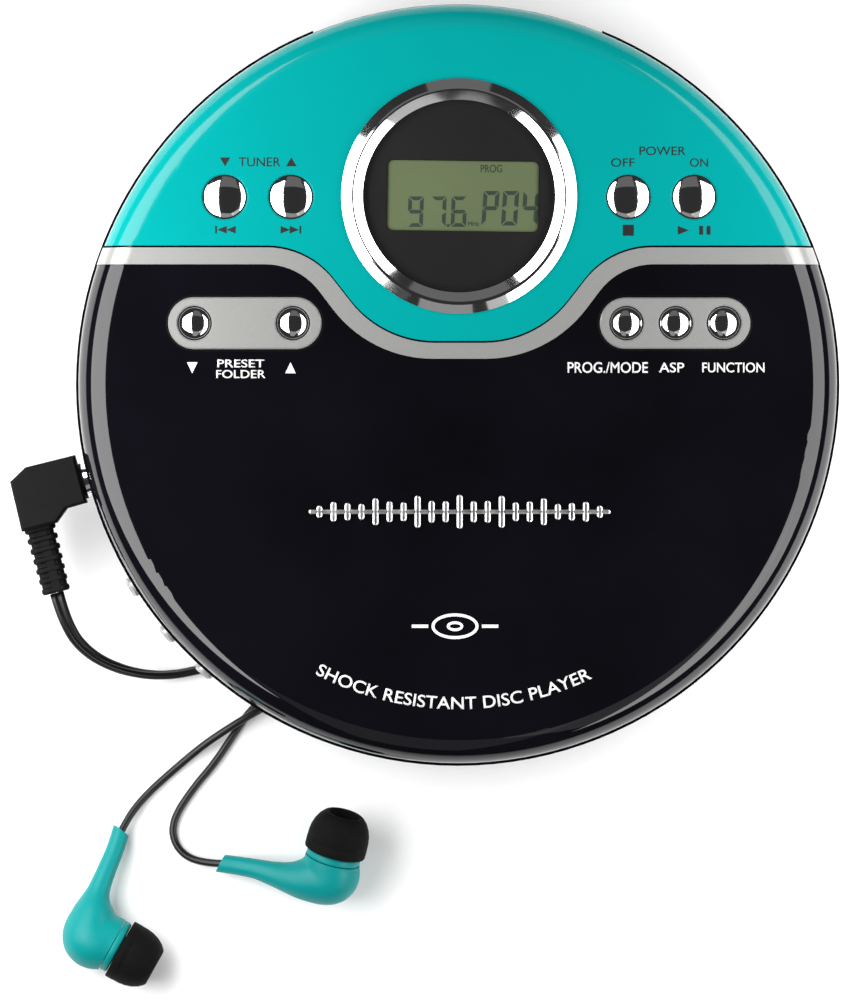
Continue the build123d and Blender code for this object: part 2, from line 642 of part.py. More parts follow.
def make_big_button(x, way):
    cap = domed_cap(BIG_CAP_R, BIG_CAP_TOP, BIG_DOME_R, 0.8)
    groove = Pos(way * 2.2, 0, BIG_CAP_TOP - 1) * Box(4.4, GROOVE_W, 4)
    groove += Pos(0, 0, BIG_CAP_TOP - 1) * Cylinder(GROOVE_W / 2, 4)
    groove -= Pos(0, 0, BIG_CAP_TOP - BIG_DOME_R) * Sphere(BIG_DOME_R - GROOVE_DEPTH)
    return Pos(x, BUTTON_Y, 0) * (cap - groove)


def make_small_button(x):
    return Pos(x, PILL_Y, 0) * domed_cap(SMALL_CAP_R, SMALL_CAP_TOP, SMALL_DOME_R, 0.7)


def make_badge():
    """A sound wave on a line: plain rounded bars of different heights."""
    count, pitch, bar_w = 21, 2.56, 1.15
    middle_y, rail_h = -23.4, 0.9
    low, thick = LID_TOP, 0.7
    badge = Pos(0.35, middle_y, low) * extrude(SlotOverall(55.2, rail_h), amount=thick)
    for k in range(count):
        offset = k - (count - 1) / 2
        swell = math.cos(math.radians(7.2 * offset))
        height = 1.9 + 4.4 * swell * abs(math.cos(math.radians(61 * offset)))
        bar = Rot(0, 0, 90) * SlotOverall(height, bar_w)
        badge += Pos(0.35 + pitch * offset, middle_y, low) * extrude(bar, amount=thick)
    return badge


# --- Hinge and ribbon ----------------------------------------------------------------------------
def make_hinge_pins():
    ends = [sorted((side * 6.2, side * 12.8)) for side in (-1, 1)]
    return Compound(children=[bar_x(HINGE_PIN_R, *pair, HINGE_Y, HINGE_Z) for pair in ends])


def make_ribbon():
    (x0, x1), rise_y, thick = RIBBON_X, RIBBON_RISE_Y, 0.15
    ribbon = box(x0, x1, 7.0, 7.0 + thick, 5.0, 17.35)
    ribbon += box(x0, x1, 7.0, rise_y, 17.35 - thick, 17.35)
    ribbon += box(x0, x1, rise_y - thick, rise_y, 17.2, 25.05)
    ribbon += box(x0, x1, 40.0, rise_y, 25.05 - thick, 25.05)
    return ribbon


# --- Earphones -----------------------------------------------------------------------------------
PLUG_U = polar(1, PHONE_ANGLE)[:2]  # out of the jack
PLUG_V = (-PLUG_U[1], PLUG_U[0])  # along the strain relief
RELIEF_OUT, RELIEF_START, RELIEF_L = 80.9, 6.0, 12.6
RIBS, RIB_W, RIB_PITCH = 7, 5.8, 1.92
CORD_START = RELIEF_START + RELIEF_L + 0.1


def plug_point(out, along, z=PHONE_Z):
    return (PLUG_U[0] * out + PLUG_V[0] * along, PLUG_U[1] * out + PLUG_V[1] * along, z)


def make_plug_housing():
    outline = [(71.3, -5.0), (80.6, -5.1), (84.0, -3.2), (84.2, 6.2), (77.6, 6.2), (75.1, 4.1), (71.3, 4.0)]
    half_t = 4.4
    body = Pos(0, 0, PHONE_Z - half_t) * extrude(make_face(Polyline(*outline, close=True)), amount=2 * half_t)
    body = chamfer(body.edges().filter_by(Axis.Z, reverse=True), 0.5)
    body += bar_x(3.3, 70.8, 71.4, 0, PHONE_Z)
    core = Pos(RELIEF_OUT, RELIEF_START + RELIEF_L / 2, PHONE_Z) * Box(4.7, RELIEF_L, 3.0)
    body += fillet(core.edges().filter_by(Axis.Y), 0.9)
    for k in range(RIBS):
        along = RELIEF_START + 0.45 + RIB_PITCH * k
        rib = Box(RIB_W - 0.1 * k, 1.15, 4.4 - 0.1 * k)
        rib = fillet(rib.edges().filter_by(Axis.Y), 1.3)
        rib = fillet(rib.edges().filter_by(Axis.Y, reverse=True), 0.45)
        body += Pos(RELIEF_OUT, along, PHONE_Z) * rib
        if k < RIBS - 1:
            body += Pos(RELIEF_OUT - 0.3, along + RIB_PITCH / 2, PHONE_Z) * Box(1.5, RIB_PITCH, 3.8)
    body -= bar_x(1.2, 70.5, 74, 0, PHONE_Z)
    return at_angle(PHONE_ANGLE, body)


def make_plug_pin():
    pin = turned([(0, 0), (0.5, 0), (1.6, 1.9), (1.15, 2.9), (1.75, 3.6), (1.75, 12.9), (0, 12.9)])
    pin = Pos(57.6, 0, PHONE_Z) * Rot(0, 90, 0) * pin
    pin += bar_x(3.0, 70.42, 70.78, 0, PHONE_Z) + bar_x(1.18, 70, 73.9, 0, PHONE_Z)
    for out in (62.9, 65.6):
        pin -= bar_x(1.9, out, out + 0.4, 0, PHONE_Z) - bar_x(1.62, out, out + 0.4, 0, PHONE_Z)
    return at_angle(PHONE_ANGLE, pin)


def cord_path(points):
    """Straight runs joined by arcs as large as the runs allow; prints length and radii."""
    spots = [Vector(*p) for p in points]
    runs = [(b - a) for a, b in zip(spots, spots[1:])]
    radii = []
    for before, after in zip(runs, runs[1:]):
        turn = math.radians(before.get_angle(after))
        radii.append(0.45 * min(before.length, after.length) / math.tan(turn / 2))
    path = FilletPolyline(*spots, radius=radii)
    print(f"  cord: length {path.length:.1f}, radii {[round(r, 1) for r in radii]}")
    return path


def tube(points, diameter):
    path = cord_path(points)
    solid = sweep(Plane(origin=path @ 0, z_dir=path % 0) * Circle(diameter / 2), path=path)
    ideal = math.pi * diameter**2 / 4 * path.length
    print(f"  volume {solid.volume:.1f}, section times length {ideal:.1f}")
    return solid


def hank(r_in, r_out, height, angle_from, angle_to):
    """A folded bundle that follows the rim: a bent bar with rounded ends."""
    strip = post(r_out, 0, height) - post(r_in, -1, height + 1)
    wedge = [(0, 0), polar(120, angle_from)[:2], polar(120, angle_to)[:2]]
    return strip & Pos(0, 0, -1) * extrude(make_face(Polyline(*wedge, close=True)), amount=height + 2)


MAIN_HANK = (56.2, 69.4, 6.0, 298.0, 343.0)  # inner and outer radius, height, angles
LEAD_A_HANK = (54.4, 61.8, 4.2, 250.0, 284.6)
LEAD_B_HANK = (62.1, 69.5, 4.2, 250.0, 284.6)


def main_route():
    z = CORD_D / 2
    relief_end = plug_point(RELIEF_OUT, CORD_START)
    route = [relief_end, (-71.95, -44.6, 14.4), (-67.9, -49.7, 10.0), (-61.4, -52.9, 5.0), (-53.6, -53.9, 1.9)]
    route += [(-45.5, -52.1, z), (-36.0, -50.6, z), (-26.6, -47.6, z)]
    lane_r, last_angle, steps = 50.4, 350.5, 7
    for k in range(steps + 1):
        route.append(polar(lane_r, 249 + (last_angle - 249) * k / steps, z))
    route += [polar(58.4, 354.9, z), polar(67.8, 351.3, z), polar(68.2, MAIN_HANK[4], z)]
    return route


def right_lead_route():
    z = LEAD_D / 2
    route = [polar(61.1, 250, z), (-26.4, -55.6, z), (-32.0, -55.3, z), (-37.6, -59.2, z), (-41.2, -64.3, z)]
    route += [(-44.7, -69.7, z), (-49.1, -74.8, z), (-52.9, -80.8, z), (-52.1, -85.5, z), (-48.2, -88.3, 1.2)]
    route += [(-43.45, -88.4, 2.2)]
    return route


def left_lead_route():
    z = LEAD_D / 2
    over = 2.4  # height of its axis where it passes over the right lead
    route = [polar(62.8, 250, z), (-27.0, -57.4, z), (-32.0, -57.6, 1.3), (-36.6, -60.0, over)]
    route += [(-41.8, -63.1, over), (-46.8, -66.4, 1.4), (-52.4, -71.1, z), (-57.4, -75.6, 0.9)]
    route += [(-60.7, -79.6, 1.6), (-62.3, -82.9, 2.6)]
    return route


def make_split():
    """The Y piece where the twin lead becomes two: it lies between the hanks."""
    joint = box(59.8, 64.0, -6.8, 6.8, 0.1, 2.5)
    joint = fillet(joint.edges().filter_by(Axis.Z), 1.2)
    return Rot(0, 0, 291.25) * joint


BUD_FRONT = 4.6  # from the middle of an earbud's body to its flat front
LEFT_BUD = dict(stem_from=(-62.3, -82.9, 2.6), neck=(-65.0, -93.4, 5.2), body_at=(-67.2, -101.9, 5.7))
LEFT_TIP_AXIS = (0.89, -0.455, 0.0)
RIGHT_BUD = dict(stem_from=(-43.4, -88.4, 2.2), neck=(-32.4, -90.5, 4.8), body_at=(-23.6, -90.9, 5.7))
RIGHT_TIP_AXIS = (0.212, 0.942, 0.26)


def make_earbud(stem_from, neck, body_at, tip_axis):
    """Shell: a stem that widens into a round body with its axis along the ear tip."""
    stem_start, neck_v, body_v = Vector(*stem_from), Vector(*neck), Vector(*body_at)
    axis = Vector(*tip_axis).normalized()
    shell = cone_between(stem_start, neck_v, 1.55, 2.3)
    shell += cone_between(neck_v, body_v, 2.3, 3.1)
    shell += Pos(*neck_v) * Sphere(2.3)
    shell += cone_between(body_v - axis * 1.5, body_v + axis * BUD_FRONT, 5.2, 5.2)
    shell += Pos(*(body_v - axis * 1.5)) * Sphere(5.2) & cone_between(body_v - axis * 5.5, body_v, 5.3, 5.3)
    shell += cone_between(body_v + axis * (BUD_FRONT - 0.2), body_v + axis * (BUD_FRONT + 1.8), 2.6, 2.4)
    return shell


def cone_between(start, end, r0, r1):
    step = end - start
    middle = (start + end) * 0.5
    plane = Plane(origin=middle, z_dir=step)
    solid = Cylinder(r0, step.length) if r0 == r1 else Cone(r0, r1, step.length)
    return plane * solid


def make_tip(body_at, tip_axis):
    """A hollow mushroom of soft rubber that sits on the earbud's nozzle."""
    axis = Vector(*tip_axis).normalized()
    outline = [(2.65, 0), (5.0, 0), (5.6, 1.4), (5.6, 4.0), (4.9, 6.0), (3.6, 7.6), (2.65, 7.4)]
    front = Vector(*body_at) + axis * (BUD_FRONT + 0.2)
    return Plane(origin=front, z_dir=axis) * turned(outline)


def make_shells():
    left = make_earbud(tip_axis=LEFT_TIP_AXIS, **LEFT_BUD)
    right = make_earbud(tip_axis=RIGHT_TIP_AXIS, **RIGHT_BUD)
    return Compound(children=[s for bud in (left, right) for s in bud.solids()])


def make_tips():
    tips = [make_tip(LEFT_BUD["body_at"], LEFT_TIP_AXIS), make_tip(RIGHT_BUD["body_at"], RIGHT_TIP_AXIS)]
    return Compound(children=tips)


# --- Everything ----------------------------------------------------------------------------------
NODES = {
    "base_shell": make_base_shell,
    "battery_door": make_battery_door,
    "deck_plate": make_deck_plate,
    "rubber_feet": make_feet,
    "case_screws": make_case_screws,
    "aa_cells": make_cells,
    "battery_contacts": make_contacts,
    "main_board": make_main_board,
    "headphone_jack": make_headphone_jack,
    "dc_jack": make_dc_jack,
    "side_switches": make_side_switches,
    "lid_switch": make_lid_switch,
    "mech_frame": make_mech_frame,
    "mech_dampers": make_dampers,
    "spindle_motor": make_spindle_motor,
    "sled_motor": make_sled_motor,
    "guide_rods": make_guide_rods,
    "motor_pinion": make_motor_pinion,
    "sled_gear": make_sled_gear,
    "pickup_sled": make_sled,
    "pickup_lens": make_lens,
    "turntable": make_turntable,
    "open_button": make_open_button,
    "latch_spring": make_latch_spring,
    "lid_rear_cover": make_rear_cover,
    "lid_front_cover": make_front_cover,
    "trim_band": make_trim_band,
    "button_plates": lambda: Compound(children=[make_pill(LEFT_PILL), make_pill(RIGHT_PILL)]),
    "display_ring": make_display_ring,
    "display_window": make_display_window,
    "lcd_module": make_lcd,
    "lid_inner_panel": make_inner_panel,
    "lid_screws": make_lid_screws,
    "lid_board": make_lid_board,
    "badge": make_badge,
    "hinge_pins": make_hinge_pins,
    "ribbon_cable": make_ribbon,
    "plug_housing": make_plug_housing,
    "plug_pin": make_plug_pin,
    "cable_main": lambda: tube(main_route(), CORD_D),
    "cable_hank": lambda: hank(*MAIN_HANK),
    "cable_split": make_split,
    "lead_left": lambda: tube(left_lead_route(), LEAD_D),
    "lead_left_hank": lambda: hank(*LEAD_B_HANK),
    "lead_right": lambda: tube(right_lead_route(), LEAD_D),
    "lead_right_hank": lambda: hank(*LEAD_A_HANK),
    "earbud_shells": make_shells,
    "ear_tips": make_tips,
}
for button, (button_x, button_way) in BIG_BUTTONS.items():
    NODES[f"{button}_button"] = lambda x=button_x, way=button_way: make_big_button(x, way)
for button, button_x in SMALL_BUTTONS.items():
    NODES[f"{button}_button"] = lambda x=button_x: make_small_button(x)
for button, button_angle in SIDE_BUTTON_ANGLES.items():
    NODES[f"{button}_button"] = lambda angle=button_angle: make_side_button(angle)

for node, make in NODES.items():
    save(make(), node)
print(f"{len(NODES)} nodes")
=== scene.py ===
import math

import bmesh
import bpy
from mathutils import Matrix, Vector


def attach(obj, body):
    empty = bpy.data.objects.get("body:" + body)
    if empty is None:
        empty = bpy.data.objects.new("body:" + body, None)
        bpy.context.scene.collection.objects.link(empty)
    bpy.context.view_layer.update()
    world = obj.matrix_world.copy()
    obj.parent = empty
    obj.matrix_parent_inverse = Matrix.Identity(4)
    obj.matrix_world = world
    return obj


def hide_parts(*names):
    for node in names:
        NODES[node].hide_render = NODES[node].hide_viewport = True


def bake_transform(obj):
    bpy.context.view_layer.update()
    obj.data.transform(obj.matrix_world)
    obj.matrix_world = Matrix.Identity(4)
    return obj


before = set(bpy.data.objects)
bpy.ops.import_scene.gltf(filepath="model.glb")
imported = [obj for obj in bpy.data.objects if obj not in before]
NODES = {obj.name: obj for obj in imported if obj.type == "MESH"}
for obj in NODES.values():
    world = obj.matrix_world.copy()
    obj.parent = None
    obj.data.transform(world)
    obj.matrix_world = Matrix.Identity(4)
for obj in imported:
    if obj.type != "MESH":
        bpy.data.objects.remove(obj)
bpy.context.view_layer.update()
MM = 0.001

# --- Places that the pieces are worked out from, in millimetres ----------------------------------
LID_TOP = 30.6
LABEL_Z = LID_TOP + 0.02
LCD_Z = 29.5
PHONE_ANGLE, PHONE_Z = 194.5, 15.2
CORD_D, LEAD_D = 2.0, 1.4
CORD_START = 18.7  # along the strain relief, just past its end
MAIN_HANK = (56.2, 69.4, 6.0, 298.0, 343.0)
LEAD_A_HANK = (54.4, 61.8, 4.2, 250.0, 284.6)
LEAD_B_HANK = (62.1, 69.5, 4.2, 250.0, 284.6)


def polar(r, angle, z=0.0):
    return (r * math.cos(math.radians(angle)), r * math.sin(math.radians(angle)), z)


def link(obj):
    bpy.context.scene.collection.objects.link(obj)
    return obj


def mesh_object(name, verts, faces, smooth=True):
    """Makes an object from points in millimetres."""
    mesh = bpy.data.meshes.new(name)
    mesh.from_pydata([tuple(c * MM for c in v) for v in verts], [], faces)
    mesh.validate()
    if smooth:
        mesh.shade_smooth()
    return link(bpy.data.objects.new(name, mesh))


def bake(obj):
    """Swaps an object for a plain mesh of what its modifiers make."""
    depsgraph = bpy.context.evaluated_depsgraph_get()
    mesh = bpy.data.meshes.new_from_object(obj.evaluated_get(depsgraph))
    name = obj.name
    bpy.data.objects.remove(obj)
    return link(bpy.data.objects.new(name, mesh))


# --- Camera --------------------------------------------------------------------------------------
VIEW_CENTRE = (-6.53, -21.25)
RIM_Z = 20.0
FRAME_HEIGHT = 183.4  # what the frame's height covers at the rim
CAMERA_DISTANCE = 2500.0
SENSOR = 36.0


def make_camera():
    data = bpy.data.cameras.new("camera")
    data.sensor_width = SENSOR
    data.lens = SENSOR * CAMERA_DISTANCE / FRAME_HEIGHT
    data.clip_start, data.clip_end = 0.1, 20.0
    camera = link(bpy.data.objects.new("camera", data))
    camera.location = (VIEW_CENTRE[0] * MM, VIEW_CENTRE[1] * MM, (RIM_Z + CAMERA_DISTANCE) * MM)
    bpy.context.scene.camera = camera


make_camera()


# --- Materials -----------------------------------------------------------------------------------
def new_material(name, color, roughness, metallic=0.0, coat=0.0, specular=0.5):
    mat = bpy.data.materials.new(name)
    mat.use_nodes = True
    shader = mat.node_tree.nodes["Principled BSDF"]
    shader.inputs["Base Color"].default_value = (*color, 1)
    shader.inputs["Roughness"].default_value = roughness
    shader.inputs["Metallic"].default_value = metallic
    shader.inputs["Coat Weight"].default_value = coat
    shader.inputs["Coat Roughness"].default_value = 0.03
    shader.inputs["Specular IOR Level"].default_value = specular
    return mat


def noise(mat, scale, detail=3.0, stretch=(1, 1, 1)):
    tree = mat.node_tree
    coords = tree.nodes.new("ShaderNodeTexCoord")
    mapping = tree.nodes.new("ShaderNodeMapping")
    mapping.inputs["Scale"].default_value = stretch
    texture = tree.nodes.new("ShaderNodeTexNoise")
    texture.inputs["Scale"].default_value = scale
    texture.inputs["Detail"].default_value = detail
    tree.links.new(coords.outputs["Object"], mapping.inputs["Vector"])
    tree.links.new(mapping.outputs["Vector"], texture.inputs["Vector"])
    return texture


def vary_color(mat, color, spread, scale, detail=3.0, stretch=(1, 1, 1)):
    """Lets the base colour drift a little, darker and lighter, with a fine noise."""
    tree = mat.node_tree
    ramp = tree.nodes.new("ShaderNodeValToRGB")
    ramp.color_ramp.elements[0].color = (*[c * (1 - spread) for c in color], 1)
    ramp.color_ramp.elements[1].color = (*[min(1, c * (1 + spread)) for c in color], 1)
    ramp.color_ramp.elements[0].position = 0.3
    ramp.color_ramp.elements[1].position = 0.7
    tree.links.new(noise(mat, scale, detail, stretch).outputs["Fac"], ramp.inputs["Fac"])
    tree.links.new(ramp.outputs["Color"], tree.nodes["Principled BSDF"].inputs["Base Color"])


def vary_roughness(mat, low, high, scale, stretch=(1, 1, 1)):
    tree = mat.node_tree
    spread = tree.nodes.new("ShaderNodeMapRange")
    spread.inputs["To Min"].default_value = low
    spread.inputs["To Max"].default_value = high
    tree.links.new(noise(mat, scale, 3.0, stretch).outputs["Fac"], spread.inputs["Value"])
    tree.links.new(spread.outputs["Result"], tree.nodes["Principled BSDF"].inputs["Roughness"])


def add_bump(mat, scale, strength, depth_mm, stretch=(1, 1, 1), detail=2.0):
    tree = mat.node_tree
    bump = tree.nodes.new("ShaderNodeBump")
    bump.inputs["Strength"].default_value = strength
    bump.inputs["Distance"].default_value = depth_mm * MM
    tree.links.new(noise(mat, scale, detail, stretch).outputs["Fac"], bump.inputs["Height"])
    tree.links.new(bump.outputs["Normal"], tree.nodes["Principled BSDF"].inputs["Normal"])


def gloss_plastic(name, color, spread=0.03, coat=0.0, roughness=0.06, specular=0.5):
    """Injection moulded and polished: faint flow marks, almost even gloss."""
    mat = new_material(name, color, roughness, coat=coat, specular=specular)
    vary_color(mat, color, spread, 40, 4)
    vary_roughness(mat, roughness * 0.6, roughness * 1.5, 260)
    return mat


def matte_plastic(name, color, roughness=0.5, grain=2600, depth_mm=0.02, specular=0.5):
    """Moulded with a fine spark-eroded grain."""
    mat = new_material(name, color, roughness, specular=specular)
    vary_color(mat, color, 0.12, 700)
    vary_roughness(mat, roughness * 0.85, min(1, roughness * 1.2), 900)
    add_bump(mat, grain, 0.5, depth_mm)
    return mat


def silver_paint(name, color):
    """Metallic lacquer: tiny flakes over an even satin grey."""
    mat = new_material(name, color, 0.4, metallic=0.3, coat=0.8)
    vary_color(mat, color, 0.05, 5200, 1)
    vary_roughness(mat, 0.34, 0.48, 1500)
    return mat


def chrome(name, color=(0.86, 0.86, 0.87), roughness=0.05):
    mat = new_material(name, color, roughness, metallic=1.0)
    vary_roughness(mat, roughness * 0.5, roughness * 1.8, 420)
    add_bump(mat, 160, 0.06, 0.02)
    return mat


def brushed(name, color, stretch=(1, 30, 1)):
    mat = new_material(name, color, 0.3, metallic=1.0)
    vary_color(mat, color, 0.12, 90, 4, stretch)
    vary_roughness(mat, 0.2, 0.42, 120, stretch)
    return mat


def circuit_board(name):
    """Green solder mask with paler copper tracks under it."""
    mat = new_material(name, (0.01, 0.12, 0.05), 0.35)
    tree = mat.node_tree
    coords = tree.nodes.new("ShaderNodeTexCoord")
    bricks = tree.nodes.new("ShaderNodeTexBrick")
    bricks.inputs["Scale"].default_value = 160
    bricks.inputs["Color1"].default_value = (0.01, 0.10, 0.045, 1)
    bricks.inputs["Color2"].default_value = (0.012, 0.13, 0.055, 1)
    bricks.inputs["Mortar"].default_value = (0.03, 0.22, 0.08, 1)
    bricks.inputs["Mortar Size"].default_value = 0.03
    tree.links.new(coords.outputs["Object"], bricks.inputs["Vector"])
    tree.links.new(bricks.outputs["Color"], tree.nodes["Principled BSDF"].inputs["Base Color"])
    return mat


def cell_wrap(name):
    """A printed battery sleeve: black with a copper end, turned round X."""
    mat = new_material(name, (0.02, 0.02, 0.02), 0.18, metallic=0.4)
    vary_color(mat, (0.05, 0.035, 0.02), 0.6, 60, 2, (6, 1, 1))
    return mat


def lcd_face(name):
    """Reflective grey-green glass whose tone drifts a little with a fine noise."""
    color = (0.114, 0.145, 0.073)
    mat = new_material(name, color, 0.28, coat=0.2)
    vary_color(mat, color, 0.035, 90, 2)
    add_bump(mat, 3000, 0.15, 0.004)
    return mat


TEAL = (0.0009, 0.30, 0.292)
MATS = {
    "teal": gloss_plastic("teal_plastic", TEAL, 0.015, roughness=0.12, specular=0.3),
    "black": gloss_plastic("piano_black", (0.0029, 0.0027, 0.0045), 0.25, roughness=0.045),
    "bud_teal": gloss_plastic("earbud_teal", (0.0, 0.225, 0.222), 0.02, roughness=0.42, specular=0.2),
    "silver": silver_paint("silver_lacquer", (0.33, 0.33, 0.32)),
    "chrome": chrome("bright_chrome"),
    "badge_chrome": chrome("badge_chrome", (0.8, 0.8, 0.81), 0.3),
    "lens": gloss_plastic("black_lens", (0.0155, 0.016, 0.0155), 0.1, roughness=0.05),
    "lcd": lcd_face("lcd_glass"),
    "segment": matte_plastic("lcd_segment", (0.030, 0.046, 0.034), 0.5, 2600, 0.005, 0.2),
    "well": matte_plastic("dark_plastic", (0.012, 0.012, 0.013), 0.45),
    "matte_black": matte_plastic("matte_black", (0.003, 0.003, 0.003), 0.55, 2600, 0.02, 0.1),
    "rubber": matte_plastic("soft_rubber", (0.003, 0.0028, 0.0028), 0.75, 1800, 0.03, 0.1),
    "cord": matte_plastic("cord_sleeve", (0.004, 0.0038, 0.0039), 0.34, 2200, 0.01, 0.35),
    "steel": brushed("brushed_steel", (0.5, 0.5, 0.5)),
    "board": circuit_board("circuit_board"),
    "cell": cell_wrap("cell_sleeve"),
    "white": matte_plastic("white_plastic", (0.62, 0.62, 0.6), 0.45),
    "ribbon": matte_plastic("tan_ribbon", (0.38, 0.2, 0.05), 0.35),
    "brass": brushed("machined_brass", (0.7, 0.5, 0.2)),
    "print_black": matte_plastic("black_print", (0.004, 0.004, 0.004), 0.55),
    "print_white": matte_plastic("white_print", (0.86, 0.86, 0.86), 0.55),
}

NODE_MATS = {
    "base_shell": "black", "battery_door": "matte_black", "deck_plate": "well", "rubber_feet": "rubber",
    "case_screws": "steel", "aa_cells": "cell", "battery_contacts": "steel", "main_board": "board",
    "headphone_jack": "chrome", "dc_jack": "matte_black", "side_switches": "white", "lid_switch": "white",
    "mech_frame": "steel", "mech_dampers": "rubber", "spindle_motor": "steel", "sled_motor": "steel",
    "guide_rods": "chrome", "motor_pinion": "brass", "sled_gear": "white", "pickup_sled": "well",
    "pickup_lens": "lens", "turntable": "well", "open_button": "black", "latch_spring": "steel",
    "lid_rear_cover": "teal", "lid_front_cover": "black", "trim_band": "silver", "button_plates": "silver",
    "display_ring": "chrome", "display_window": "lens", "lcd_module": "lcd", "lid_inner_panel": "well",
    "lid_screws": "steel", "lid_board": "board", "badge": "badge_chrome", "hinge_pins": "steel",
    "plug_housing": "matte_black", "plug_pin": "chrome", "cable_split": "matte_black",
    "ribbon_cable": "ribbon",
    "volume_down_button": "silver", "volume_up_button": "silver", "bass_button": "silver",
}


def dress_nodes():
    for name, obj in NODES.items():
        key = NODE_MATS.get(name)
        if key is None:
            key = "chrome" if name.endswith("_button") else "cord"
        obj.data.materials.clear()
        obj.data.materials.append(MATS[key])


dress_nodes()


def finish_piece(obj, mat, body):
    obj.data.materials.clear()
    obj.data.materials.append(MATS[mat])
    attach(obj, body)
    return obj


# --- Cords ---------------------------------------------------------------------------------------
def cord_curve(name, route, bevel_mm):
    """A smooth cord: a NURBS line with the route's points as its control points."""
    data = bpy.data.curves.new(name, "CURVE")
    data.dimensions = "3D"
    spline = data.splines.new("NURBS")
    spline.points.add(len(route) - 1)
    for point, place in zip(spline.points, route):
        point.co = (*[c * MM for c in place], 1)
    spline.order_u = 3
    spline.use_endpoint_u = True
    spline.resolution_u = 8
    data.bevel_depth = bevel_mm * MM
    data.bevel_resolution = 5
    data.use_fill_caps = True
    return link(bpy.data.objects.new(name, data))


def line_of(name, route):
    """The points that a route's NURBS line passes through, in metres."""
    curve = cord_curve(name, route, 0)
    depsgraph = bpy.context.evaluated_depsgraph_get()
    mesh = bpy.data.meshes.new_from_object(curve.evaluated_get(depsgraph))
    points = [v.co.copy() for v in mesh.vertices]
    bpy.data.objects.remove(curve)
    return points


def fold(points, centre, from_r, to_r, from_z, to_z, way):
    """Turns a cord round the end of a hank: four points about a half circle."""
    middle, half = (from_r + to_r) / 2, (from_r - to_r) / 2
    for k in range(4):
        a = math.radians(22.5 + 45 * k)
        out = 1.082 * half * math.cos(a)
        along = way * 1.082 * abs(half) * math.sin(a)
        z = from_z + (to_z - from_z) * k / 3
        points.append(polar(middle + out, centre + math.degrees(along / middle), z))


def hank_turns(hank, loops, last_run, diameter):
    """Winds a cord to and fro: out along one lane, back along another, and out once more at the end."""
    near, far = hank[3:]
    points = []
    for (out_r, back_r, z), (next_r, _, next_z) in zip(loops, loops[1:] + [(*last_run[:1], 0, last_run[1])]):
        middle = (out_r + back_r) / 2
        reach = math.degrees((abs(out_r - back_r) / 2 + diameter / 2) / middle)
        low, high = near + reach, far - reach
        points += [polar(out_r, high + (low - high) * j / 3, z) for j in (0, 1, 2, 3)]
        fold(points, low, out_r, back_r, z, z, -1)
        points += [polar(back_r, low + (high - low) * j / 3, z) for j in (0, 1, 2, 3)]
        fold(points, high, back_r, next_r, z, next_z, 1)
    points += [polar(last_run[0], far + (near - far) * j, last_run[1]) for j in (0.22, 0.48, 0.74)]
    return points


PLUG_U = polar(1, PHONE_ANGLE)[:2]
PLUG_V = (-PLUG_U[1], PLUG_U[0])


def plug_point(out, along, z=PHONE_Z):
    return (PLUG_U[0] * out + PLUG_V[0] * along, PLUG_U[1] * out + PLUG_V[1] * along, z)


def main_route():
    z = CORD_D / 2
    route = [plug_point(80.9, CORD_START), (-71.95, -44.6, 14.4), (-67.9, -49.7, 10.0), (-61.4, -52.9, 5.0)]
    route += [(-53.6, -53.9, 1.9), (-45.5, -52.1, z), (-36.0, -50.6, z), (-26.6, -47.6, z)]
    lane_r, last_angle, steps = 50.4, 350.5, 7
    for k in range(steps + 1):
        route.append(polar(lane_r, 249 + (last_angle - 249) * k / steps, z))
    route += [polar(58.4, 354.9, z), polar(67.8, 351.3, z)]
    outer, inner = (68.65, 56.75), (66.8, 58.6)
    layers = [(*outer, 1.0), (*outer, 3.0), (*outer, 5.0), (*inner, 5.0), (*inner, 3.0)]
    route += hank_turns(MAIN_HANK, layers, (inner[0], 1.1), CORD_D)
    route += [polar(64.2, 299.5, 1.2), polar(62.2, 297.0, 1.3)]
    return route


def right_lead_route():
    z = LEAD_D / 2
    route = [polar(60.6, 285.4, 1.3), polar(60.9, 283.6, 2.4)]
    route += hank_turns(LEAD_A_HANK, [(61.0, 55.2, 3.4), (61.0, 55.2, 2.1)], (61.0, z), LEAD_D)
    route += [polar(61.1, 250, z), (-26.4, -55.6, z), (-32.0, -55.3, z), (-37.6, -59.2, z)]
    route += [(-41.2, -64.3, z), (-44.7, -69.7, z), (-49.1, -74.8, z), (-52.9, -80.8, z)]
    route += [(-52.1, -85.5, z), (-48.2, -88.3, 1.2), (-43.45, -88.4, 2.2)]
    return route


def left_lead_route():
    z = LEAD_D / 2
    over = 2.4  # the height at which it passes over the right lead
    route = [polar(63.2, 285.4, 1.3), polar(63.0, 283.6, 2.4)]
    route += hank_turns(LEAD_B_HANK, [(62.9, 68.7, 3.4), (62.9, 68.7, 2.1)], (62.9, z), LEAD_D)
    route += [polar(62.8, 250, z), (-27.0, -57.4, z), (-32.0, -57.6, 1.3), (-36.6, -60.0, over)]
    route += [(-41.8, -63.1, over), (-46.8, -66.4, 1.4), (-52.4, -71.1, z), (-57.4, -75.6, 0.9)]
    route += [(-60.7, -79.6, 1.6), (-62.3, -82.9, 2.6)]
    return route


STRAND_R = 0.7


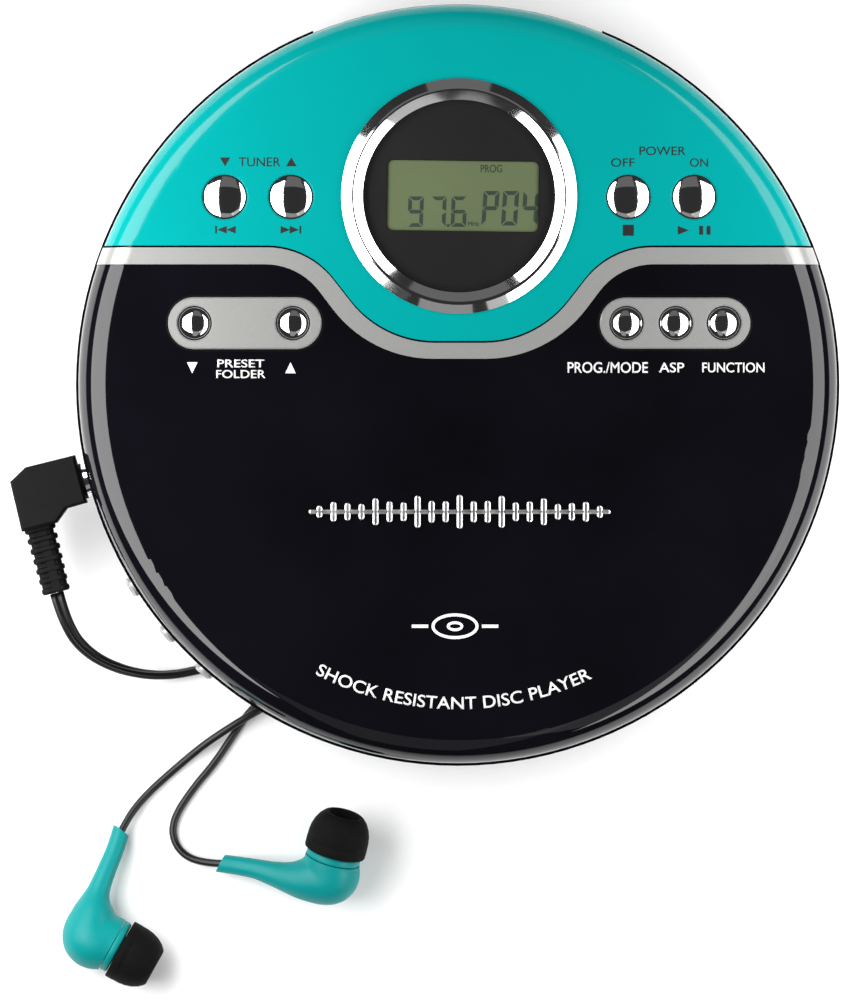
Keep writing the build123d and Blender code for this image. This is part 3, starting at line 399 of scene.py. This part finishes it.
def twin_cable(name, points):
    """Two strands side by side along a line: they part towards the plug and lie close further on."""
    verts, faces = [], []
    sides, run, last = 24, 0.0, points[0]
    for k, point in enumerate(points):
        ahead = points[min(k + 1, len(points) - 1)] - points[max(k - 1, 0)]
        run += (point - last).length / MM
        last = point
        settled = min(1.0, run / 30.0)
        spread = 0.62 - 0.28 * settled
        roll = math.radians(65 * settled)
        level = ahead.cross(Vector((0, 0, 1))).normalized()
        upward = level.cross(ahead).normalized()
        across = level * math.cos(roll) + upward * math.sin(roll)
        over = ahead.normalized().cross(across)
        for j in range(sides):
            a = 2 * math.pi * j / sides
            r = spread * abs(math.cos(a)) + math.sqrt(STRAND_R**2 - (spread * math.sin(a)) ** 2)
            verts.append(tuple((point + (across * math.cos(a) + over * math.sin(a)) * r * MM) / MM))
    for k in range(len(points) - 1):
        for j in range(sides):
            n = (j + 1) % sides
            faces.append([k * sides + j, k * sides + n, (k + 1) * sides + n, (k + 1) * sides + j])
    faces.append(list(range(sides))[::-1])
    faces.append([len(verts) - sides + j for j in range(sides)])
    return mesh_object(name, verts, faces)


def make_main_cable():
    points = line_of("cable_line", main_route())
    cable = twin_cable("main_cable", points)
    finish_piece(cable, "cord", "base")
    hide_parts("cable_main", "cable_hank")


def make_lead(name, route, nodes):
    points = line_of(name + "_line", route)
    lead = cord_curve(name, route, LEAD_D / 2)
    finish_piece(lead, "cord", "base")
    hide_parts(*nodes)


TIE_WIDTH = 5.0
TIE_T = 0.25


def tie_section(lanes, levels, offset, floor):
    """The outline of a band drawn tight over the outermost turns, flat where it lies on the table."""
    (near_r, far_r), (low, high) = lanes, levels
    points = []
    for r, z, start in ((far_r, high, 0), (near_r, high, 90), (near_r, low, 180), (far_r, low, 270)):
        for k in range(7):
            a = math.radians(start + 15 * k)
            points.append((r + offset * math.cos(a), max(floor, z + offset * math.sin(a))))
    return points


def make_tie(name, centre, lanes, levels, diameter):
    """A flat rubber band round a hank, to hold it folded."""
    outer = tie_section(lanes, levels, diameter / 2 + 0.05 + TIE_T, 0.0)
    inner = tie_section(lanes, levels, diameter / 2 + 0.05, TIE_T)
    half = math.degrees(TIE_WIDTH / 2 / lanes[0])
    rings = [polar(r, centre + half * s, z) for s in (-1, -0.5, 0, 0.5, 1) for r, z in outer + inner]
    n = len(outer)
    faces = []
    for i in range(4):
        a, b = 2 * n * i, 2 * n * (i + 1)
        for j in range(n):
            k = (j + 1) % n
            faces.append([a + j, b + j, b + k, a + k])
            faces.append([a + n + j, a + n + k, b + n + k, b + n + j])
    last = 8 * n
    for j in range(n):
        k = (j + 1) % n
        faces.append([j, k, n + k, n + j])
        faces.append([last + j, last + n + j, last + n + k, last + k])
    tie = mesh_object(name, rings, faces, smooth=False)
    finish_piece(tie, "rubber", "base")
    return tie


def make_ties():
    make_tie("cable_tie", 320.5, (56.75, 68.65), (1.0, 5.0), CORD_D)
    make_tie("left_lead_tie", 271.5, (62.9, 68.7), (0.7, 3.4), LEAD_D)
    make_tie("right_lead_tie", 263.0, (55.2, 61.0), (0.7, 3.4), LEAD_D)


RIBBON_EDGES = (30.2, 35.8)
RIBBON_LINE = ((7.075, 5.0), (7.075, 17.275), (56.625, 17.275), (56.625, 24.975), (40.0, 24.975))
RIBBON_HALF_T = 0.075
RIBBON_ROW = 0.4  # between its rows of points


def make_ribbon():
    """The flat cable up to the lid, with its rising run, as one fixed strip."""
    line = []
    for (y0, z0), (y1, z1) in zip(RIBBON_LINE, RIBBON_LINE[1:]):
        rows = round(math.hypot(y1 - y0, z1 - z0) / RIBBON_ROW)
        line += [(y0 + (y1 - y0) * k / rows, z0 + (z1 - z0) * k / rows) for k in range(rows)]
    line.append(RIBBON_LINE[-1])
    verts, faces = [], []
    near, far = RIBBON_EDGES
    for k, (y, z) in enumerate(line):
        before, after = line[max(k - 1, 0)], line[min(k + 1, len(line) - 1)]
        along = Vector((0, after[0] - before[0], after[1] - before[1])).normalized()
        up = Vector((0, -along.z, along.y)) * RIBBON_HALF_T
        for x, side in ((near, 1), (far, 1), (far, -1), (near, -1)):
            verts.append((x, y + up.y * side, z + up.z * side))
    for k in range(len(line) - 1):
        for j in range(4):
            n = (j + 1) % 4
            faces.append([4 * k + j, 4 * k + n, 4 * k + 4 + n, 4 * k + 4 + j])
    faces.append([0, 3, 2, 1])
    faces.append([len(verts) - 4, len(verts) - 3, len(verts) - 2, len(verts) - 1])
    ribbon = mesh_object("lid_ribbon", verts, faces, smooth=False)
    ribbon.data.materials.append(MATS["ribbon"])
    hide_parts("ribbon_cable")
    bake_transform(ribbon)


# --- Lettering and symbols -----------------------------------------------------------------------
def text_mesh(words, bold=0.0):
    data = bpy.data.curves.new("words", "FONT")
    data.body = words
    data.size = 1.0
    data.offset = bold
    data.resolution_u = 6
    obj = link(bpy.data.objects.new("words", data))
    depsgraph = bpy.context.evaluated_depsgraph_get()
    mesh = bpy.data.meshes.new_from_object(obj.evaluated_get(depsgraph))
    bpy.data.objects.remove(obj)
    return mesh


def flat_box(mesh):
    xs = [v.co.x for v in mesh.vertices]
    ys = [v.co.y for v in mesh.vertices]
    return min(xs), max(xs), min(ys), max(ys)


def print_on_lid(name, mesh, mat):
    obj = link(bpy.data.objects.new(name, mesh))
    solid = obj.modifiers.new("thickness", "SOLIDIFY")
    solid.thickness = 0.02 * MM
    solid.offset = 1
    return finish_piece(bake(obj), mat, "lid")


def label(name, words, x0, x1, y0, y1, mat, bold=0.0, z=LABEL_Z):
    """Prints words so that they fill a box on the lid, in millimetres."""
    mesh = text_mesh(words, bold)
    lo_x, hi_x, lo_y, hi_y = flat_box(mesh)
    for v in mesh.vertices:
        x = x0 + (v.co.x - lo_x) / (hi_x - lo_x) * (x1 - x0)
        y = y0 + (v.co.y - lo_y) / (hi_y - lo_y) * (y1 - y0)
        v.co = (x * MM, y * MM, z * MM)
    return print_on_lid(name, mesh, mat)


def arc_label(name, words, centre, radius, from_angle, to_angle, height, mat, bold):
    """Prints words along an arc whose tops point at its centre."""
    mesh = text_mesh(words, bold)
    lo_x, hi_x, lo_y, hi_y = flat_box(mesh)
    for v in mesh.vertices:
        angle = math.radians(from_angle + (v.co.x - lo_x) / (hi_x - lo_x) * (to_angle - from_angle))
        r = radius - (v.co.y - lo_y) / (hi_y - lo_y) * height
        x, y = centre[0] + r * math.sin(angle), centre[1] - r * math.cos(angle)
        v.co = (x * MM, y * MM, LABEL_Z * MM)
    return print_on_lid(name, mesh, mat)


def shapes_label(name, outlines, mat, z=LABEL_Z):
    """Prints plain polygons."""
    mesh = bpy.data.meshes.new(name)
    verts, faces = [], []
    for outline in outlines:
        faces.append(list(range(len(verts), len(verts) + len(outline))))
        verts += [(x * MM, y * MM, z * MM) for x, y in outline]
    mesh.from_pydata(verts, [], faces)
    return print_on_lid(name, mesh, mat)


def triangle(x, y, w, h, way):
    """way is up, down, left or right; x and y are the middle."""
    if way == "up":
        return [(x - w / 2, y - h / 2), (x + w / 2, y - h / 2), (x, y + h / 2)]
    if way == "down":
        return [(x - w / 2, y + h / 2), (x, y - h / 2), (x + w / 2, y + h / 2)]
    if way == "left":
        return [(x + w / 2, y - h / 2), (x + w / 2, y + h / 2), (x - w / 2, y)]
    return [(x - w / 2, y - h / 2), (x + w / 2, y), (x - w / 2, y + h / 2)]


def bar(x0, x1, y0, y1):
    return [(x0, y0), (x1, y0), (x1, y1), (x0, y1)]


def ring_outline(x, y, rx, ry, width, start=0.0, end=360.0, steps=40):
    """A closed band along an ellipse's arc."""
    outer, inner = [], []
    for k in range(steps + 1):
        a = math.radians(start + (end - start) * k / steps)
        outer.append((x + rx * math.cos(a), y + ry * math.sin(a)))
        inner.append((x + (rx - width) * math.cos(a), y + (ry - width) * math.sin(a)))
    return [[outer[k], outer[k + 1], inner[k + 1], inner[k]] for k in range(steps)]


def make_legends():
    black, white = "print_black", "print_white"
    label("legend_tuner", "TUNER", -40.0, -32.4, 39.65, 41.3, black)
    label("legend_power", "POWER", 33.2, 41.6, 41.7, 43.3, black)
    label("legend_off", "OFF", 28.0, 32.3, 39.6, 41.15, black)
    label("legend_on", "ON", 42.4, 45.7, 39.6, 41.15, black)
    label("legend_preset", "PRESET", -43.9, -35.3, 2.95, 4.42, white, 0.010)
    label("legend_folder", "FOLDER", -44.1, -35.1, 1.0, 2.5, white, 0.010)
    label("legend_mode", "PROG./MODE", 20.06, 34.73, 1.95, 3.95, white, 0.010)
    label("legend_skip", "ASP", 36.75, 41.34, 2.04, 3.87, white, 0.010)
    label("legend_function", "FUNCTION", 44.64, 56.01, 2.04, 3.87, white, 0.010)
    marks = [triangle(-42.5, 40.5, 1.9, 1.6, "down"), triangle(-30.4, 40.5, 1.9, 1.6, "up")]
    marks += [bar(-44.3, -44.0, 27.4, 28.8), triangle(-43.05, 28.1, 1.7, 1.4, "left")]
    marks += [triangle(-41.4, 28.1, 1.7, 1.4, "left"), triangle(-31.5, 28.1, 1.7, 1.4, "right")]
    marks += [triangle(-29.85, 28.1, 1.7, 1.4, "right"), bar(-28.9, -28.6, 27.4, 28.8)]
    marks += [bar(30.15, 32.15, 27.0, 29.0), triangle(41.2, 28.0, 2.0, 1.6, "right")]
    marks += [bar(44.1, 44.8, 27.2, 28.8), bar(45.45, 46.15, 27.2, 28.8)]
    shapes_label("legend_marks_rear", marks, black)
    marks = [triangle(-48.5, 2.9, 1.9, 2.0, "down"), triangle(-30.55, 2.9, 1.9, 2.0, "up")]
    shapes_label("legend_marks_front", marks, white)
    words = "SHOCK RESISTANT DISC PLAYER"
    arc_label("legend_arc", words, (0.0, -3.5), 56.0, -27.7, 26.0, 2.3, white, 0.010)


def make_disc_mark():
    """A plain disc seen at a slant between two dashes."""
    x, y = -0.5, -44.3
    shapes = ring_outline(x, y, 4.3, 2.35, 0.55) + ring_outline(x, y, 1.5, 0.9, 0.5)
    for side in (-1, 1):
        shapes.append(bar(*sorted((x + side * 4.9, x + side * 7.9)), y - 0.3, y + 0.3))
    shapes_label("disc_mark", shapes, "print_white")


# --- Badge ---------------------------------------------------------------------------------------
def slot_outline(x, y, width, height, inset, steps=10):
    """A bar with round ends along its longer side, shrunk by inset."""
    r = min(width, height) / 2 - inset
    reach_x, reach_y = max(0, (width - height) / 2), max(0, (height - width) / 2)
    start = -90 if reach_x else 0
    points = []
    for side, first in ((1, start), (-1, start + 180)):
        for k in range(steps + 1):
            a = math.radians(first + 180 * k / steps)
            points.append((x + side * reach_x + r * math.cos(a), y + side * reach_y + r * math.sin(a)))
    return points


def raised_bar(verts, faces, x, y, width, height, top):
    """A cast bar with sloping flanks and a flat top."""
    rings = ((0, LID_TOP), (0, top - 0.3), (0.1, top - 0.1), (0.3, top))
    first = len(verts)
    for inset, z in rings:
        verts += [(px, py, z) for px, py in slot_outline(x, y, width, height, inset)]
    sides = (len(verts) - first) // len(rings)
    for i in range(len(rings) - 1):
        for j in range(sides):
            n = (j + 1) % sides
            low, high = first + i * sides, first + (i + 1) * sides
            faces.append([low + j, low + n, high + n, high + j])
    faces.append([first + (len(rings) - 1) * sides + j for j in range(sides)])


def make_badge():
    """The sound wave on its rail, with bevelled edges that catch the light."""
    count, pitch, bar_w = 21, 2.56, 1.15
    x, y, top = 0.35, -23.4, LID_TOP + 0.7
    verts, faces = [], []
    raised_bar(verts, faces, x, y, 55.2, 0.9, top)
    for k in range(count):
        offset = k - (count - 1) / 2
        swell = math.cos(math.radians(7.2 * offset))
        height = 1.9 + 4.4 * swell * abs(math.cos(math.radians(61 * offset)))
        raised_bar(verts, faces, x + pitch * offset, y, bar_w, height, top + 0.01)
    badge = mesh_object("sound_wave_badge", verts, faces, smooth=False)
    finish_piece(badge, "badge_chrome", "lid")
    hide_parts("badge")


# --- Display -------------------------------------------------------------------------------------
SEGMENTS = {"0": "abcdef", "4": "bcfg", "6": "acdefg", "7": "abc", "9": "abcdfg", "P": "abefg"}


def segment_digit(digit, x, y, w, h, t, slant):
    """Seven segment strokes with mitred ends and gaps; x and y are the lower left corner."""
    gap, half = 0.16, h / 2
    corners = {
        "a": ((0, h), (w, h)), "b": ((w, h), (w, half)), "c": ((w, half), (w, 0)),
        "d": ((w, 0), (0, 0)), "e": ((0, 0), (0, half)), "f": ((0, half), (0, h)),
    }
    shapes = []
    for name in SEGMENTS[digit]:
        if name == "g":
            tip = t / 2
            outline = [(gap, half), (gap + tip, half + tip), (w - gap - tip, half + tip), (w - gap, half)]
            outline += [(w - gap - tip, half - tip), (gap + tip, half - tip)]
        else:
            (ax, ay), (bx, by) = corners[name]
            length = math.hypot(bx - ax, by - ay)
            ux, uy = (bx - ax) / length, (by - ay) / length
            nx, ny = uy, -ux
            ends = {"f": (0.5, 1), "c": (0.5, 1), "b": (1, 0.5), "e": (1, 0.5)}.get(name, (1, 1))
            stroke = [(gap, 0), (length - gap, 0), (length - gap - t * ends[1], t), (gap + t * ends[0], t)]
            outline = [(ax + ux * on + nx * deep, ay + uy * on + ny * deep) for on, deep in stroke]
        shapes.append([(x + px + slant * py, y + py) for px, py in outline])
    return shapes


def make_lcd_readout():
    z = LCD_Z + 0.02
    shapes = []
    digit_w, digit_h, stroke = 2.8, 5.55, 0.68
    for digit, x in (("9", -9.2), ("7", -5.05), ("6", -1.3)):
        shapes += segment_digit(digit, x, 28.65, digit_w, digit_h, stroke, 0.04)
    shapes.append(bar(-2.0, -1.5, 28.65, 29.15))
    for digit, x in (("P", 4.3), ("0", 7.9), ("4", 11.6)):
        shapes += segment_digit(digit, x, 28.9, 2.9, 6.3, 0.74, 0.07)
    shapes_label("lcd_digits", shapes, "segment", z)
    label("lcd_unit", "MHz", 1.9, 3.9, 28.8, 29.6, "segment", 0.0, z)
    label("lcd_program", "PROG", 4.2, 8.1, 38.6, 40.0, "segment", 0.0, z)


# --- Earbuds -------------------------------------------------------------------------------------
def frustum(verts, faces, start, end, r0, r1, sides=40):
    """Adds a closed cone between two points in millimetres."""
    axis = (end - start).normalized()
    side = axis.orthogonal().normalized()
    up = axis.cross(side)
    first = len(verts)
    for centre, r in ((start, r0), (end, r1)):
        for k in range(sides):
            a = 2 * math.pi * k / sides
            verts.append(tuple(centre + side * (r * math.cos(a)) + up * (r * math.sin(a))))
    for k in range(sides):
        n = (k + 1) % sides
        faces.append([first + k, first + n, first + sides + n, first + sides + k])
    faces.append([first + k for k in range(sides)][::-1])
    faces.append([first + sides + k for k in range(sides)])


def ball(verts, faces, centre, r, rings=16, sides=32):
    first = len(verts)
    for i in range(1, rings):
        a = math.pi * i / rings
        for k in range(sides):
            b = 2 * math.pi * k / sides
            step = Vector((math.sin(a) * math.cos(b), math.sin(a) * math.sin(b), math.cos(a)))
            verts.append(tuple(centre + step * r))
    for i in range(rings - 2):
        for k in range(sides):
            n = (k + 1) % sides
            a, b = first + i * sides, first + (i + 1) * sides
            faces.append([a + k, b + k, b + n, a + n])
    top, low = len(verts), len(verts) + 1
    verts += [tuple(centre + Vector((0, 0, r))), tuple(centre - Vector((0, 0, r)))]
    last = first + (rings - 2) * sides
    for k in range(sides):
        n = (k + 1) % sides
        faces.append([top, first + k, first + n])
        faces.append([low, last + n, last + k])


def cut_flat(obj, point, normal):
    """Cuts off what lies beyond a plane and closes the hole with a flat face."""
    mesh = bmesh.new()
    mesh.from_mesh(obj.data)
    parts = mesh.verts[:] + mesh.edges[:] + mesh.faces[:]
    cut = bmesh.ops.bisect_plane(
        mesh, geom=parts, plane_co=Vector(point) * MM, plane_no=Vector(normal), clear_outer=True
    )
    rim = [e for e in cut["geom_cut"] if isinstance(e, bmesh.types.BMEdge)]
    bmesh.ops.holes_fill(mesh, edges=rim)
    for edge in rim:
        edge.smooth = False
    mesh.to_mesh(obj.data)
    mesh.free()


SEAM_BACK = 1.46  # how far the front cap's seam lies behind the front
VOXEL = 0.22  # of the shell's remesh, in millimetres
CHAIN_STEPS = 6  # between one knot of an earbud and the next


def smooth_chain(knots, steps=CHAIN_STEPS):
    """Places and radii along a Catmull-Rom curve through knots of (x, y, z, radius)."""
    padded = [knots[0], *knots, knots[-1]]
    chain = []
    for p0, p1, p2, p3 in zip(padded, padded[1:], padded[2:], padded[3:]):
        for k in range(steps):
            t = k / steps
            row = [
                0.5
                * (
                    2 * b
                    + (c - a) * t
                    + (2 * a - 5 * b + 4 * c - d) * t**2
                    + (3 * b - a - 3 * c + d) * t**3
                )
                for a, b, c, d in zip(p0, p1, p2, p3)
            ]
            chain.append((Vector(row[:3]), row[3]))
    chain.append((Vector(knots[-1][:3]), knots[-1][3]))
    return chain


def make_shell(name, bud):
    """One smooth moulded form: a slim stem that swells into a round back, cut flat at both ends."""
    axis = Vector(bud["axis"]).normalized()
    front = Vector(bud["front"])
    chain = smooth_chain([*bud["swell"], (*(front - axis * 2.4), 5.14), (*(front + axis * 1.2), 5.0)])
    verts, faces = [], []
    for (start, r0), (end, r1) in zip(chain, chain[1:]):
        frustum(verts, faces, start, end, r0, r1)
    for centre, r in chain[1:-CHAIN_STEPS - 1]:
        ball(verts, faces, centre, r)
    obj = mesh_object(name, verts, faces)
    remesh = obj.modifiers.new("weld", "REMESH")
    remesh.mode = "VOXEL"
    remesh.voxel_size = VOXEL * MM
    smooth = obj.modifiers.new("soften", "SMOOTH")
    smooth.factor = 0.6
    smooth.iterations = 30
    obj = bake(obj)
    obj.data.shade_smooth()
    cut_flat(obj, bud["cut_at"], bud["cut_way"])
    cut_flat(obj, front - axis * SEAM_BACK, axis)
    return finish_piece(obj, "bud_teal", "base")


def lathe(name, base, axis, outline, sides=72):
    """Turns an outline of (radius, distance along the axis) points round an axis."""
    axis = Vector(axis).normalized()
    side = axis.orthogonal().normalized()
    up = axis.cross(side)
    base = Vector(base)
    verts, faces = [], []
    for r, s in outline:
        for k in range(sides):
            a = 2 * math.pi * k / sides
            verts.append(tuple(base + axis * s + side * (r * math.cos(a)) + up * (r * math.sin(a))))
    rows = len(outline)
    for i in range(rows):
        j = (i + 1) % rows
        for k in range(sides):
            n = (k + 1) % sides
            faces.append([i * sides + k, i * sides + n, j * sides + n, j * sides + k])
    obj = mesh_object(name, verts, faces)
    return obj


def make_bud_front(name, bud):
    """The separate front cap of the shell, with its seam, and the nozzle."""
    outline = [(4.5, -1.36), (4.9, -1.36), (5.0, -1.27), (5.04, -1.1), (5.0, -0.35), (4.85, -0.09), (4.6, 0)]
    outline += [(2.5, 0.0), (2.45, 2.2), (1.6, 2.2), (1.6, -1.36)]
    front = lathe(name, bud["front"], bud["axis"], outline)
    return finish_piece(front, "bud_teal", "base")


def make_ear_tip(name, bud):
    """A hollow rubber dome with a moulding line near its rear."""
    outline = [(2.7, 0.12), (5.3, 0.1), (5.62, 0.16), (5.7, 0.35), (5.71, 1.8), (5.66, 1.86), (5.68, 1.95)]
    outline += [(5.66, 3.0), (5.5, 4.2), (5.12, 5.4), (4.5, 6.5), (3.75, 7.3), (3.4, 7.5), (3.12, 7.52)]
    outline += [(2.95, 7.35), (2.9, 7.0), (2.3, 5.3), (2.2, 3.0), (2.7, 2.2)]
    tip = lathe(name, bud["front"], bud["axis"], outline)
    return finish_piece(tip, "rubber", "base")


LEFT_BUD = dict(
    swell=[
        (-61.6, -80.6, 2.0, 1.68), (-63.1, -85.5, 3.1, 1.72), (-64.8, -89.7, 4.0, 1.84),
        (-66.3, -93.6, 4.8, 2.2), (-67.0, -96.2, 5.2, 3.1), (-67.3, -98.8, 5.5, 4.35),
        (-67.5, -102.1, 5.7, 5.4),
    ],
    front=(-62.4, -103.9, 5.6), axis=(0.874, -0.486, 0.0),
    cut_at=(-62.3, -82.1, 2.5), cut_way=(0.61, 0.79, -0.1),
)
RIGHT_BUD = dict(
    swell=[
        (-45.4, -88.1, 1.9, 1.74), (-40.7, -88.75, 2.8, 1.78), (-37.0, -89.4, 3.7, 1.92),
        (-33.2, -90.4, 4.6, 2.45), (-30.0, -91.1, 5.2, 3.2), (-26.9, -91.2, 5.5, 4.25),
        (-23.5, -90.7, 5.6, 5.25),
    ],
    front=(-22.65, -86.1, 6.9), axis=(0.25, 0.93, 0.26),
    cut_at=(-43.75, -88.45, 2.2), cut_way=(-0.877, 0.48, -0.1),
)


def make_earbuds():
    """Both earbuds, each as a list of its pieces."""
    sides = []
    for side, bud in (("left", LEFT_BUD), ("right", RIGHT_BUD)):
        shell = [make_shell(f"earbud_{side}", bud), make_bud_front(f"earbud_{side}_front", bud)]
        tip = make_ear_tip(f"ear_tip_{side}", bud)
        for piece in shell:
            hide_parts("earbud_shells")
        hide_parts("ear_tips")
        sides.append([*shell, tip])
    return sides


# --- Floor and light -----------------------------------------------------------------------------
def make_floor():
    size = 6000
    corners = [(-size, -size, 0), (size, -size, 0), (size, size, 0), (-size, size, 0)]
    floor = mesh_object("floor", corners, [[0, 1, 2, 3]])
    mat = new_material("paper_floor", (0.9, 0.9, 0.9), 0.8)
    vary_color(mat, (0.9, 0.9, 0.9), 0.01, 8)
    floor.data.materials.append(mat)


def panel(name, angle, inner, outer, span, radiance):
    """A long light that leans over the object from one side: inner and outer are (distance, height)."""
    (r0, z0), (r1, z1) = inner, outer
    turn = Matrix.Rotation(math.radians(angle), 4, "Z")
    across = Vector((r1 - r0, 0, z1 - z0)) * MM
    width, length = across.length, (span[1] - span[0]) * MM
    across.normalize()
    along = Vector((0, 1, 0))
    facing = along.cross(across)
    middle = Vector(((r0 + r1) / 2, (span[0] + span[1]) / 2, (z0 + z1) / 2)) * MM
    data = bpy.data.lights.new(name, "AREA")
    data.shape = "RECTANGLE"
    data.size, data.size_y = width, length
    data.energy = radiance * math.pi * width * length
    light = link(bpy.data.objects.new(name, data))
    place = Matrix.Translation(middle) @ Matrix((across, along, -facing)).transposed().to_4x4()
    light.matrix_world = turn @ place
    light.visible_camera = False


def make_light():
    world = bpy.data.worlds.new("studio")
    world.use_nodes = True
    world.node_tree.nodes["Background"].inputs["Color"].default_value = (1, 1, 1, 1)
    world.node_tree.nodes["Background"].inputs["Strength"].default_value = 0.03
    bpy.context.scene.world = world
    panel("panel_left", 180, (85, 145), (520, 225), (-190, 150), 6.6)
    panel("panel_right", 0, (100, 145), (540, 225), (-300, 190), 5.0)
    panel("panel_front", 262, (110, 150), (420, 180), (-60, 60), 0.26)
    panel("panel_front_right", 298, (110, 150), (420, 180), (-40, 110), 0.5)
    panel("panel_rear", 90, (110, 150), (420, 180), (-80, 80), 0.11)
    bpy.context.scene.view_settings.view_transform = "Standard"


lead_nodes = {"left": ("lead_left", "lead_left_hank"), "right": ("lead_right", "lead_right_hank")}
make_ties()
make_main_cable()
left_pieces, right_pieces = make_earbuds()
make_lead("left_lead", left_lead_route(), lead_nodes["left"])
make_lead("right_lead", right_lead_route(), lead_nodes["right"])
make_ribbon()
make_legends()
make_disc_mark()
make_badge()
make_lcd_readout()
make_floor()
make_light()
